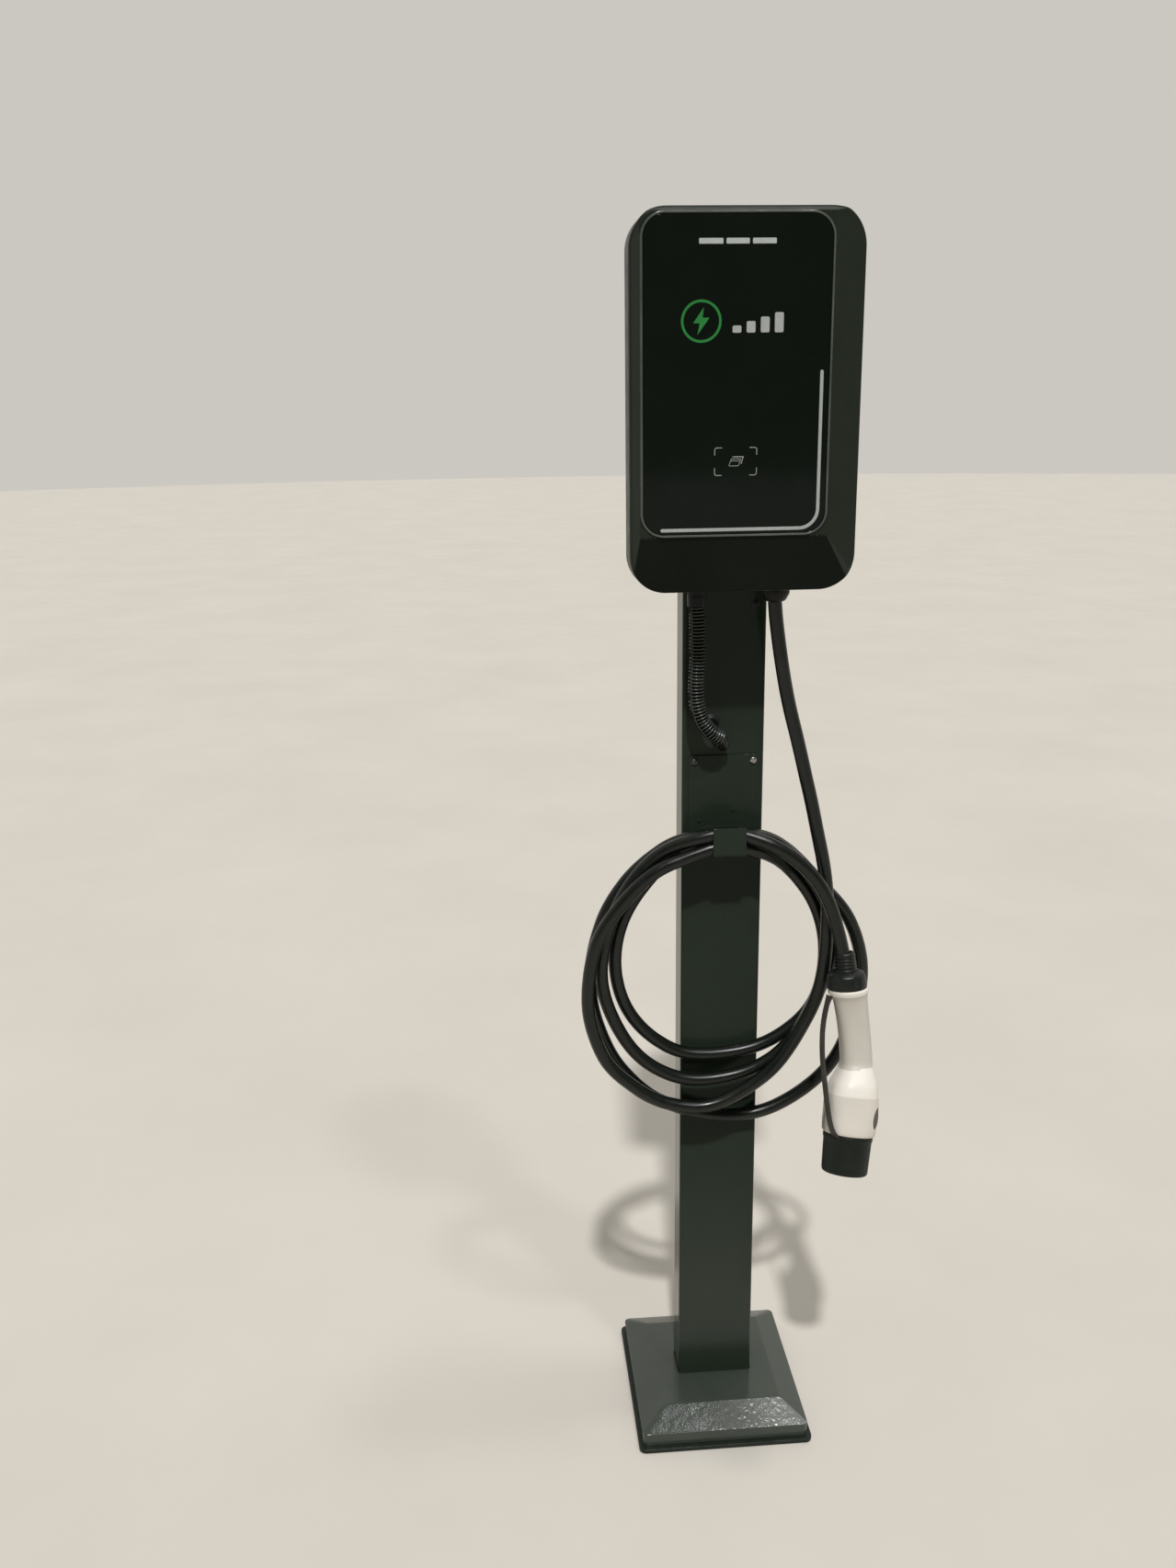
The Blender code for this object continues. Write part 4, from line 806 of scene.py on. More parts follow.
cap_rings = [xy(rr(47, 22, 2, 8), 1486.5), xy(rr(47, 22, 2, 8), 1500.3), xy(rr(50, 25, 4, 8), 1500.3), xy(rr(50, 25, 4, 8), 1501.6),
             xy(rr(49.6, 24.6, 3.7, 8), 1502.4), xy(rr(48.6, 23.6, 3.2, 8), 1503.1), xy(rr(46.5, 21.6, 2.4, 8), 1503.5)]
post_cap = loft("post_end_plug", cap_rings, BLACK)
post_piece(post_cap, "post_top_cap", slot="black_plastic")

# ================================================================= cable hook: plate and arm folded from one sheet
Y_IN, Y_OUT = -25.3, -27.3
hook = plate("hook_back", [rr(42, 57, 3.0, 8, 0.0, 871.0)], Y_IN, Y_OUT, PAINT, edge=0.45)
post_piece(hook, "hook_plate", slot="post_paint")


def arc_pts(cx, cz, r, a0, a1, n):
    return [(cx + r * math.cos(math.radians(a0 + (a1 - a0) * k / n)), cz + r * math.sin(math.radians(a0 + (a1 - a0) * k / n)))
            for k in range(n + 1)]


def arm_piece():
    """J profile in the YZ plane, 40 mm wide, with rounded bends and an upright lip."""
    out = [(-25.6, 822.0), (-25.6, 820.0)] + arc_pts(-32.0, 820.4, 6.4, 0, -90, 8)[1:]
    out += arc_pts(-74.6, 819.4, 5.4, 270, 180, 8)
    out += [(-80.0, 851.0)]
    inn = [(-78.0, 851.0)] + arc_pts(-74.6, 819.4, 3.4, 180, 270, 8) + arc_pts(-32.0, 820.4, 4.4, -90, 0, 8) + [(-27.6, 822.0)]
    loop = out + inn
    rings = [[(x, y, z) for y, z in loop] for x in (-20.0, 20.0)]
    ob = loft("hook_arm", rings, PAINT)
    soften(ob, 0.5, 3, 50.0)
    return settle(ob, 40.0)


arm = arm_piece()
post_piece(arm, slot="post_paint")
# the first hook screw takes the darker steel: painted shade of the conduit's shadow
for i, (x, z) in enumerate([(-35.5, 920.5), (36.5, 920.5), (-35.5, 826.0), (36.5, 826.0)]):
    s = screw("hook_fixing_%d" % (i + 1), (x, -27.45, z), (0, -1, 0), 4.2, 2.4, STEEL_PAINTED_SHADE if i == 0 else STEEL, turn=0.3 + 0.7 * i)
    post_piece(s, "hook_screw_%d" % (i + 1), slot="screw_steel")
# two small blind rivets beside the arm
for i, (x, z) in enumerate([(-29.0, 846.0), (13.5, 858.0)]):
    rv = revolve("hook_rivet_%d" % (i + 1), rounded([(0.0, 1.0), (1.8, 0.9), (2.2, 0.0), (1.2, 0.0), (1.2, -1.0), (0.0, -1.0)], 0.4),
                 (x, -27.4, z), (0, -1, 0), PAINT, steps=24)
    post_piece(rv, slot="post_paint")
# the earth screw and washer take the dark steel: painted shade of the head's shadow
es = screw("earth_fixing", (36.4, -25.2, 1111.0), (0, -1, 0), 3.6, 2.2, EARTH_SCREW_PAINTED_SHADE, turn=0.9)
post_piece(es, "earth_screw", slot="screw_steel")
washer = revolve("earth_washer", rounded([(2.2, 0.7), (4.9, 0.7), (5.1, 0.0), (2.2, 0.0), (2.2, 0.35)], 0.2),
                 (36.4, -25.0, 1111.0), (0, -1, 0), EARTH_SCREW_PAINTED_SHADE, steps=32, ring=True)
post_piece(washer, slot="screw_steel")

# ================================================================= entry grommet and conduit
GX, GZ = -15.0, 966.0
gp = [(17.4, 0.9), (17.7, 0.0), (17.6, -1.0), (17.0, -1.7), (14.6, -2.0), (14.6, -5.4), (16.6, -5.8), (15.2, -7.6),
      (11.0, -7.6), (10.4, 0.6), (10.7, 3.4), (11.6, 4.4), (12.8, 4.2), (13.6, 2.6), (15.0, 1.7), (16.4, 1.5)]
gp = [(r * 0.72, h * 0.8) for r, h in gp]
grom = revolve("entry_seal", rounded(gp, 0.6, 3), (GX, -25.6, GZ), (0, -1, 0), RUBBER, steps=56, ring=True)
post_piece(grom, "entry_grommet", slot="black_rubber")

CGX, CGY = -39.5, -58.0
CONDUIT_PATH = [(CGX, CGY, 1120.0), (CGX + 0.3, CGY, 1112.0), (CGX + 1.2, CGY - 0.5, 1085.0), (CGX + 1.4, CGY - 1.0, 1050.0),
                (CGX + 0.2, CGY - 1.2, 1021.0), (CGX + 1.6, CGY - 0.8, 999.0), (CGX + 7.0, CGY + 0.6, 980.5),
                (-24.0, -55.0, 967.5), (-16.0, -51.5, 960.0), (-9.0, -47.5, 955.0)]
cpts = catmull(CONDUIT_PATH, 0.5)
PITCH = 3.92


def rib_radius(i, s):
    wave = math.cos(2 * math.pi * s / PITCH)
    crest = 1 / (1 + math.exp(-wave * 3.4))
    return 9.7 - 2.1 * (1 - crest)


cond = tube("conduit_corrugated", cpts, rib_radius, CONDUIT, sides=30, smooth=75.0)
cond.data.materials.append(CONDUIT_PAINTED_SHADE)
cond_s = [0.0]
for p, q in zip(cpts[:-1], cpts[1:]):
    cond_s.append(cond_s[-1] + (q - p).length)
# groove faces and left-facing faces take the near-black copy: painted shade
for f in cond.data.polygons:
    row = f.index // 30
    valley = row < len(cond_s) - 1 and math.cos(2 * math.pi * (cond_s[row] + 0.25) / PITCH) < -0.05
    if valley or f.normal.x < -0.62:
        f.material_index = 1
post_piece(cond, "conduit", slot="black_plastic")
# the supply cable leaves the conduit's open end and turns back up into the post
feed = catmull([(-16.0, -51.5, 960.0), (-9.0, -47.5, 955.0), (-3.8, -43.5, 948.5), (-1.8, -38.5, 943.0), (-2.8, -33.2, 941.0),
                (-6.6, -28.8, 945.5), (-11.0, -25.0, 955.0), (GX, -20.0, GZ)], 1.0)
post_piece(tube("conduit_supply_cable", feed, 6.2, CABLE, sides=28), slot="cable_black")
# pale edge of the slit that runs down the conduit
slit, nrm = [], Vector((-0.72, -0.69, 0.0)).normalized()
for i in range(0, len(cpts) - 16, 4):
    t = (cpts[min(i + 2, len(cpts) - 1)] - cpts[max(i - 2, 0)]).normalized()
    nrm = (nrm - t * nrm.dot(t)).normalized()
    slit.append(cpts[i] + nrm * 9.45)
post_piece(tube("conduit_slit_edge", slit, 0.38, SLIT, sides=10), slot="black_plastic")

# ================================================================= glands under the head
FL = 1149.0


def flutes(count, depth, lo, hi, sharp=2.0):
    def f(t, r, h):
        if lo <= h <= hi:
            c = 0.5 + 0.5 * math.cos(count * t)
            return r - depth * c ** sharp
        return r
    return f


cg_prof = rounded([(9.9, 1160.0), (9.9, FL - 0.3), (12.4, FL - 0.3), (12.4, FL - 5), (10.9, FL - 7), (10.6, FL - 22), (10.7, FL - 24),
                   (10.4, FL - 34), (10.0, FL - 35.0), (9.9, FL - 34.3), (9.9, FL - 14.5), (7.0, FL - 14.5), (7.0, 1160.0)], 0.6, 3)
cg = revolve("conduit_adaptor", cg_prof, (CGX, CGY, 0), (0, 0, 1), GLAND_BLACK, steps=96, ring=True,
             shape=flutes(24, 0.35, FL - 23.0, FL - 9.0))
post_piece(cg, "conduit_gland", slot="black_plastic")
OGX, OGY = 51.0, -62.0


og_prof = rounded([(9.9, 1160.0), (9.9, FL - 0.3), (15.6, FL - 0.3), (15.6, FL - 2.2), (14.6, FL - 2.4), (14.6, FL - 9.5), (8.9, FL - 9.5), (8.9, 1160.0)],
                  0.5, 3)
og = revolve("cable_gland_body", og_prof, (OGX, OGY, 0), (0, 0, 1), GLAND_BLACK, steps=96, ring=True)
post_piece(og, "output_gland_body", slot="black_plastic")
on_prof = rounded([(14.8, FL - 9.8), (16.6, FL - 13), (16.6, FL - 21), (14.8, FL - 25.0), (12.4, FL - 29.2), (10.4, FL - 30.5), (8.5, FL - 30.5),
                   (8.5, FL - 9.8)], 1.0, 4)
onut = revolve("cable_gland_dome_nut", on_prof, (OGX, OGY, 0), (0, 0, 1), GLAND_BLACK, steps=120, ring=True,
               shape=flutes(18, 0.75, FL - 22.0, FL - 11.5))
post_piece(onut, "output_gland_nut", slot="black_plastic")

# ================================================================= head
HX, HZ, HEAD_R, HEAD_Z = 124.0, 196.0, 40.0, 1335.0
PX, PZ, PHX, PHZ, PR = -13.7, 1362.2, 97.2, 158.6, 22.2
LIP_X0, LIP_X1 = PX - PHX - 3.2, PX + PHX + 3.2
LIP_Z0, LIP_Z1 = PZ - PHZ - 3.2, PZ + PHZ + 3.2
BEVEL_Y0, BEVEL_DEPTH = -146.2, 18.2


def face_depth(x, z):
    """Front face of the head: four flat bevels round the panel, meeting in mitres that are eased more towards the rim."""
    sides = ((x - LIP_X1) / (HX - LIP_X1), (LIP_X0 - x) / (HX + LIP_X0), (z - LIP_Z1) / (HEAD_Z + HZ - LIP_Z1),
             (LIP_Z0 - z) / (LIP_Z0 - (HEAD_Z - HZ)))
    s = sorted(sides, reverse=True)
    a, b = max(s[0], 0.0) * BEVEL_DEPTH, max(s[1], 0.0) * BEVEL_DEPTH
    k = 0.5 + 1.7 * min(1.0, max(s[0], 0.0))
    h = max(k - abs(a - b), 0.0) / k
    soft = max(a, b) + h * h * k * 0.25 * min(1.0, b / 2.0)
    return BEVEL_Y0 + min(soft, BEVEL_DEPTH)


def front_housing():
    n, side, steps = 26, 6, 22
    outer = rr(HX, HZ, HEAD_R, n, 0.0, HEAD_Z, side)
    lip = rr(PHX + 3.2, PHZ + 3.2, PR + 3.0, n, PX, PZ, side)
    rings = [xz(outer, -94.7), xz(rr(HX, HZ, HEAD_R, n, 0.0, HEAD_Z, side), -97.0)]
    edge = [(x, face_depth(x, z), z) for x, z in outer]
    # rounded rim: four rings that turn from the side wall to the face
    for t in (0.0, 0.5, 1.0):
        ring = []
        for (x, z), (ex, ey, ez), (lx, lz) in zip(outer, edge, lip):
            ring.append((x, (-97.0) + ((ey + 2.6) - (-97.0)) * (0.5 + 0.5 * t) if t < 1.0 else ey + 2.6, z))
        rings.append(ring)
    def inset(x, z, d):
        """Point of the outline moved d inwards along the outline's own normal."""
        cx, cz = max(-HX + HEAD_R, min(HX - HEAD_R, x)), max(HEAD_Z - HZ + HEAD_R, min(HEAD_Z + HZ - HEAD_R, z))
        v = Vector((x - cx, z - cz))
        if v.length < 1e-6:
            return x, z
        v.normalize()
        return x - v.x * d, z - v.y * d
    for k in range(1, 6):
        a = math.radians(90.0 * k / 5)
        ring = []
        for (x, z), (ex, ey, ez) in zip(outer, edge):
            r = 2.4
            nx, nz = inset(x, z, r * (1 - math.cos(a)))
            yy = face_depth(nx, nz)
            y0 = ey + 2.6
            ring.append((nx, y0 + (face_depth(*inset(x, z, r)) - y0) * math.sin(a) if k < 5 else yy, nz))
        rings.append(ring)
    start = [(p[0], p[2]) for p in rings[-1]]
    for k in range(1, steps + 1):
        t = k / steps
        ring = []
        for (x, z), (lx, lz) in zip(start, lip):
            qx, qz = x + (lx - x) * t, z + (lz - z) * t
            ring.append((qx, face_depth(qx, qz), qz))
        rings.append(ring)
    def lipring(d, y):
        return xz(rr(PHX + d, PHZ + d, PR + d - 0.2, n, PX, PZ, side), y)
    for d, y in ((3.05, -146.9), (2.95, -147.5), (2.7, -147.85), (2.3, -148.0), (1.1, -148.0), (0.65, -147.9), (0.45, -147.6),
                 (0.4, -146.6), (0.4, -144.6), (-1.6, -144.6), (-1.6, -142.0)):
        rings.append(lipring(d, y))
    rings.append(xz(rr(118, 190, 34, n, 0.0, HEAD_Z, side), -124.5))
    rings.append(xz(rr(118, 190, 34, n, 0.0, HEAD_Z, side), -94.7))
    return loft("head_front_shell", rings, HEAD, closed=True, smooth=34.0)


shell = front_housing()
shell.data.materials.append(HEAD_PAINTED_SHADE_BOTTOM)
shell.data.materials.append(HEAD_PAINTED_LIGHT_CORNER)
for f in shell.data.polygons:
    if f.normal.y > -0.35 or f.center.y > -0.100:
        continue
    s_right, s_low = (f.center.x / MM - LIP_X1) / (HX - LIP_X1), (LIP_Z0 - f.center.z / MM) / (LIP_Z0 - (HEAD_Z - HZ))
    # lower-right mitre faces take the lighter copy: painted light
    if min(s_right, s_low) > 0.04 and abs(s_right - s_low - 0.12 * max(s_right, s_low)) < 0.13 * max(s_right, s_low):
        f.material_index = 2
    # bottom bevel faces take the darker copy: painted shade
    elif f.normal.z < -0.18 and f.center.z < (LIP_Z0 + 4.0) * MM:
        f.material_index = 1
# raised lip round the panel; its pale grey is a painted highlight
trim_rings = []
for d, y in ((2.75, -147.3), (2.80, -147.75), (2.55, -148.0), (2.15, -148.12), (1.25, -148.12), (0.85, -148.0), (0.62, -147.75), (0.62, -147.3)):
    trim_rings.append(xz(rr(PHX + d, PHZ + d, PR + d - 0.2, 20, PX, PZ, 2), y))
trim = loft("panel_trim_ring", trim_rings, TRIM_PAINTED_HIGHLIGHT, closed=True, smooth=60.0)
post_piece(trim, slot="head_plastic")
post_piece(shell, "front_housing", slot="head_plastic")


def ringxz(hx, hz, r, y, n=22):
    return xz(rr(hx, hz, r, n, 0.0, HEAD_Z, 2), y)


rear = loft("head_rear_shell", [
    ringxz(111, 183, 29, -34.5), ringxz(111, 183, 29, -92.0), ringxz(120.6, 192.6, 38.6, -92.0), ringxz(121, 193, 39, -91.6),
    ringxz(121, 193, 39, -89.5), ringxz(120.5, 192.5, 38.5, -89.0), ringxz(115.0, 187.0, 33.0, -89.0), ringxz(114.2, 186.2, 32.2, -88.2),
    ringxz(114, 186, 32, -86.0), ringxz(114, 186, 32, -35.5), ringxz(113.7, 185.7, 31.7, -34.0), ringxz(112.9, 184.9, 30.9, -32.6),
    ringxz(111.2, 183.2, 29.2, -31.7), ringxz(109.0, 181.0, 27.0, -31.5)], HEAD_REAR)
post_piece(rear, "rear_housing", slot="head_plastic")
# stiffening ribs on the sides of the rear housing, and the screws that hold it
for i, z in enumerate((1200.0, 1335.0, 1470.0)):
    for sgn in (-1, 1):
        rib = loft("rear_rib_%d_%s" % (i + 1, "left" if sgn < 0 else "right"),
                   [[(sgn * x, y, z + w) for x, y in ((113.6, -87.0), (117.6, -87.0), (117.6, -80.0), (115.2, -42.0), (113.6, -40.0))]
                    for w in (-1.3, 1.3)], HEAD_REAR)
        soften(rib, 0.45, 2, 30.0)
        settle(rib)
        post_piece(rib, slot="head_plastic")
for i, (x, z) in enumerate([(-117.4, 1205.0), (117.4, 1205.0), (-117.4, 1465.0), (117.4, 1465.0)]):
    s = screw("housing_fixing_%d" % (i + 1), (x, -88.95, z), (0, 1, 0), 2.9, 1.9, turn=0.2 + 0.5 * i)
    post_piece(s, "housing_screw_%d" % (i + 1), slot="screw_steel")

# ---- gloss panel, light guides and marks
BARS = ((-53.9, -29.1), (-26.0, -2.2), (1.0, 25.3))
LZ, LH = 1495.0, 5.4
SX, ST, SZ, SL, SR, SW = 76.1, 1368.0, 1208.0, -91.2, 20.0, 3.5


def strip(w, ext):
    cx, cz = SX - SR, SZ + SR
    a = [math.radians(-90.0 * k / 14) for k in range(15)]
    out = [(SX + w * math.cos(t), ST + ext + w * math.sin(t) * 0.9) for t in [math.radians(180 - 18 * k) for k in range(11)]]
    right = [(cx + (SR + w) * math.cos(t), cz + (SR + w) * math.sin(t)) for t in a]
    left_end = [(SL - ext - w * 0.9 * math.sin(math.radians(18 * k)), SZ - w * math.cos(math.radians(18 * k))) for k in range(11)]
    left = [(cx + (SR - w) * math.cos(t), cz + (SR - w) * math.sin(t)) for t in reversed(a)]
    return out + right + left_end + left


def bar(xa, xb, grow, r):
    return rr((xb - xa) / 2 + grow, LH / 2 + grow, r, 6, (xa + xb) / 2, LZ)


panel = plate("front_glass", [rr(PHX, PHZ, PR, 18, PX, PZ)] + [bar(a, b, 0.2, 1.1) for a, b in BARS] + [strip(SW / 2 + 0.2, 0.2)],
              -144.9, -147.4, GLOSS, edge=0.3)
post_piece(panel, "front_panel", slot="panel_gloss")
for i, (a, b) in enumerate(BARS):
    ob = plate("status_window_%d" % (i + 1), [bar(a, b, 0.0, 0.9)], -141.5, -147.5, LED, edge=0.25)
    post_piece(ob, "status_light_%d" % (i + 1), slot="light_white")
guide = plate("light_guide", [strip(SW / 2, 0.0)], -141.5, -147.5, STRIP_LED, edge=0.3)
post_piece(guide, "light_strip", slot="light_white")

INK_Y0, INK_Y1 = -147.25, -147.52


def ring_shape(cx, cz, r, w, n=48):
    return [[(cx + r * math.cos(2 * math.pi * k / n), cz + r * math.sin(2 * math.pi * k / n)) for k in range(n)],
            [(cx + (r - w) * math.cos(-2 * math.pi * k / n), cz + (r - w) * math.sin(-2 * math.pi * k / n)) for k in range(n)]]


def ink(name, loops, mat):
    ob = plate(name, loops, INK_Y0, INK_Y1, mat, edge=0.05)
    post_piece(ob)
    return ob


# a plain energy pictogram: lightning stroke in a ring, and four level bars beside it
PCX, PCZ = -51.0, 1418.5
ink("mark_ring", ring_shape(PCX, PCZ, 21.0, 2.6), GREEN_INK)
bolt = [(2.5, 13.5), (-8.5, -2.0), (-1.6, -2.0), (-4.0, -13.5), (8.5, 3.4), (1.4, 3.4)]
ink("mark_stroke", [[(PCX + x, PCZ + z) for x, z in bolt]], GREEN_INK)
for i in range(4):
    cx = -14.0 + 14.6 * i
    hgt = 7.0 + 4.2 * i
    ink("mark_bar_%d" % (i + 1), [rr(4.6, hgt / 2, 1.6, 5, cx, PCZ - 11.5 + hgt / 2)], PALE_INK)
# card reader mark: four corner brackets and a card outline
X0, X1, Z0, Z1 = -36.0, 9.4, 1264.0, 1293.0
arm_l, arm_w = 8.0, 0.8
for i, (x, z, sx, sz) in enumerate([(X0, Z0, 1, 1), (X1, Z0, -1, 1), (X1, Z1, -1, -1), (X0, Z1, 1, -1)]):
    r = 2.6
    outer_arc = [(x + sx * (r - r * math.sin(math.radians(a))), z + sz * (r - r * math.cos(math.radians(a)))) for a in range(0, 91, 15)]
    q = r - arm_w
    inner_arc = [(x + sx * (r - q * math.sin(math.radians(a))), z + sz * (r - q * math.cos(math.radians(a)))) for a in range(90, -1, -15)]
    loop = [(x + sx * arm_l, z)] + outer_arc + [(x, z + sz * arm_l), (x + sx * arm_w, z + sz * arm_l)] + inner_arc + \
        [(x + sx * arm_l, z + sz * arm_w)]
    ink("reader_corner_%d" % (i + 1), [loop], DIM_INK)
ccx, ccz = (X0 + X1) / 2, (Z0 + Z1) / 2


def slanted(hx, hz, r, dx=0.0, dz=0.0):
    """Card outline leaning a little to the right."""
    return [(ccx + dx + px + 0.35 * pz, ccz + dz + pz) for px, pz in rr(hx, hz, r, 6)]


ink("reader_card", [slanted(5.4, 3.9, 1.1, -0.8, -0.9), slanted(4.8, 3.3, 0.6, -0.8, -0.9)[::-1]], DIM_INK)
ink("reader_card_stripe", [[(ccx - 5.0, ccz + 0.3), (ccx + 4.2, ccz + 0.3), (ccx + 4.4, ccz + 0.9), (ccx - 4.8, ccz + 0.9)]], DIM_INK)
ink("reader_card_behind", [[(ccx - 3.4, ccz + 4.4), (ccx + 7.3, ccz + 4.4), (ccx + 5.5, ccz - 2.6), (ccx + 6.3, ccz - 2.6),
                            (ccx + 8.6, ccz + 5.3), (ccx - 3.2, ccz + 5.3)]], DIM_INK)

# bracket behind the head keeps its CAD solid; its fixing screws are added
for i, (x, z) in enumerate([(0.0, 1230.0), (0.0, 1440.0)]):
    s = screw("bracket_fixing_%d" % (i + 1), (x, -28.55, z), (0, -1, 0), 5.5, 2.0)
    post_piece(s, "bracket_screw_%d" % (i + 1), slot="screw_steel")

# ================================================================= charging connector
COLLAR = Vector((143.2, -98.0, 657.2))
CAP_TOP = Vector((139.1, -147.0, 475.3))
NOSE = Vector((-0.150, -0.312, -0.938)).normalized()
COLLAR_DIR = Vector((0.051, -0.158, -0.986)).normalized()
HANDLE = Vector((0.09, -0.205, -0.975)).normalized()
UP = -COLLAR_DIR
NU = (Vector((1, 0, 0)) - NOSE * NOSE.x).normalized()
NV = NOSE.cross(NU)

relief_prof = [(8.4, 22.5), (10.0, 22.4), (11.2, 21.6), (11.8, 20.0)]
for k in range(4):
    h = 16.6 - 4.2 * k
    r = 12.2 + 0.40 * k
    relief_prof += [(r, h + 1.6), (r, h + 0.2), (r - 1.3, h - 0.5), (r - 1.3, h - 1.6), (r + 0.2, h - 2.3)]
relief_prof += [(14.0, 0.4), (14.0, -4.0), (8.4, -4.0)]
relief = revolve("connector_strain_relief", rounded(relief_prof, 0.45, 2), COLLAR + UP * 12.6, UP, RUBBER, steps=72, ring=True,
                 smooth=50.0)
post_piece(relief, "gun_strain_relief", slot="black_rubber")


def nut_shape(t, r, h):
    """Six finger lugs round the nut."""
    if r > 17.0 and -7.5 <= h <= 8.6:
        c = 0.5 + 0.5 * math.cos(6 * t + 0.9)
        return r - 0.95 * max(0.0, (c - 0.72) / 0.28) ** 0.7
    return r


nut_prof = [(14.6, 12.4), (16.2, 12.1), (19.6, 10.4), (22.2, 8.6), (23.3, 6.6), (23.7, 3.6), (24.0, 1.2), (24.3, -1.0),
            (24.4, -5.0), (24.4, -8.3), (24.0, -9.0), (22.6, -9.0), (22.6, -3.0), (14.6, -3.0)]
nut = revolve("connector_collar", rounded(nut_prof, 0.6, 2), COLLAR, UP, NUT_BLACK, steps=144, ring=True, shape=nut_shape)
post_piece(nut, "gun_collar_nut", slot="black_plastic")

# body sections: centre, half width, half depth to the front, half depth to the back, blend of direction, squareness
SECT = [((144.6, -100.0, 648.2), 23.6, 23.6, 23.6, 0.0, 2.0), ((144.9, -100.6, 646.6), 24.6, 24.6, 24.6, 0.0, 2.0),
        ((145.3, -101.2, 642.6), 24.3, 24.3, 24.3, 0.0, 2.0), ((145.6, -101.6, 641.0), 23.2, 23.4, 23.4, 0.0, 2.0),
        ((146.6, -102.6, 637.0), 21.6, 21.6, 21.4, 0.05, 2.1), ((147.7, -103.8, 631.0), 20.4, 20.4, 20.2, 0.08, 2.25),
        ((149.7, -107.0, 614.0), 19.2, 19.4, 19.4, 0.15, 2.7), ((151.7, -112.0, 592.0), 18.7, 19.1, 19.5, 0.2, 2.8),
        ((153.1, -118.9, 563.0), 18.8, 19.7, 20.2, 0.3, 2.75), ((152.4, -121.4, 554.0), 19.7, 21.8, 21.0, 0.42, 2.75),
        ((150.6, -124.4, 545.5), 23.2, 26.6, 23.0, 0.55, 2.7), ((148.2, -128.4, 534.5), 27.9, 31.2, 26.4, 0.75, 2.7),
        ((145.8, -132.2, 521.6), 30.7, 33.9, 29.4, 0.92, 2.7), ((144.9, -134.3, 514.3), 31.7, 33.4, 30.8, 0.97, 2.7),
        ((143.5, -138.4, 500.6), 32.2, 33.0, 31.7, 1.0, 2.6), (tuple(CAP_TOP - NOSE * 12.0), 32.1, 32.4, 31.8, 1.0, 2.45),
        (tuple(CAP_TOP - NOSE * 3.2), 31.6, 31.9, 31.4, 1.0, 2.3), (tuple(CAP_TOP - NOSE * 1.4), 31.0, 31.2, 30.8, 1.0, 2.25),
        (tuple(CAP_TOP - NOSE * 0.6), 30.0, 30.2, 29.8, 1.0, 2.2)]
CREASE = 12
NG = 96


def section_at(f):
    """Section values at a fractional index, smooth except at the crease on the front of the body."""
    i = int(min(len(SECT) - 2, max(0, math.floor(f))))
    t = f - i

    def val(k):
        k = max(0, min(len(SECT) - 1, k))
        s = SECT[k]
        return [*s[0], *s[1:]]
    p1, p2 = val(i), val(i + 1)
    p0, p3 = val(i - 1), val(i + 2)
    if i == CREASE:
        p0 = [2 * a - b for a, b in zip(p1, p2)]
    if i + 1 == CREASE:
        p3 = [2 * b - a for a, b in zip(p1, p2)]
    return [0.5 * ((2 * b) + (c - a) * t + (2 * a - 5 * b + 4 * c - d) * t * t + (3 * b - a - 3 * c + d) * t ** 3)
            for a, b, c, d in zip(p0, p1, p2, p3)]


def gun_section(f, inset=0.0, groove=True):
    x, y, z, a, bf, bb, k, e = section_at(f)
    base = COLLAR_DIR.lerp(HANDLE, min(1.0, max(0.0, (f - 2.0) / 4.0)))
    d = base.lerp(NOSE, max(0.0, min(1.0, k))).normalized()
    u = (Vector((1, 0, 0)) - d * d.x).normalized()
    v = d.cross(u)          # towards the back
    out = []
    for j in range(NG):
        t = 2 * math.pi * j / NG
        c, s = math.cos(t), math.sin(t)
        b = bb if s > 0 else bf
        px = (a - inset) * math.copysign(abs(c) ** (2.0 / e), c)
        pv = (b - inset) * math.copysign(abs(s) ** (2.0 / e), s)
        if groove and j % (NG // 2) == 0 and 4.2 < f < len(SECT) - 1.6:
            px -= math.copysign(0.45, c)
        out.append(Vector((x, y, z)) + u * px + v * pv)
    return out


d_test = HANDLE
v_test = d_test.cross((Vector((1, 0, 0)) - d_test * d_test.x).normalized())
if v_test.y < 0:          # keep 'front' on the -Y side
    SECT = [(s[0], s[1], s[3], s[2], s[4], s[5]) for s in SECT]
steps = []
for i in range(len(SECT) - 1):
    span_mm = (Vector(SECT[i + 1][0]) - Vector(SECT[i][0])).length
    m = max(1, int(round(span_mm / 2.4)))
    steps += [i + k / m for k in range(m)]
steps.append(len(SECT) - 1)
g_rings = [gun_section(f) for f in steps]
g_rings += [gun_section(len(SECT) - 1, 2.6, False), gun_section(len(SECT) - 3, 4.6, False)]
gun = loft("connector_body", g_rings, WHITE, smooth=30.0)
BN = NU * math.cos(math.radians(40.0)) + NV * math.sin(math.radians(40.0))
BTN = CAP_TOP - NOSE * 24.5 + BN * 31.0
pocket_edge = [(13.3 * math.cos(2 * math.pi * k / 48), 7.5 * math.sin(2 * math.pi * k / 48)) for k in range(48)]
tool = prism("button_pocket", BTN + BN * 6.0, BN, NOSE, pocket_edge, 15.5)
bool_cut(gun, [tool], 30.0)
gun.data.materials.append(WHITE_PAINTED_SHADE_GRIP)
gun.data.materials.append(WHITE_PAINTED_SHADE_HEAD)
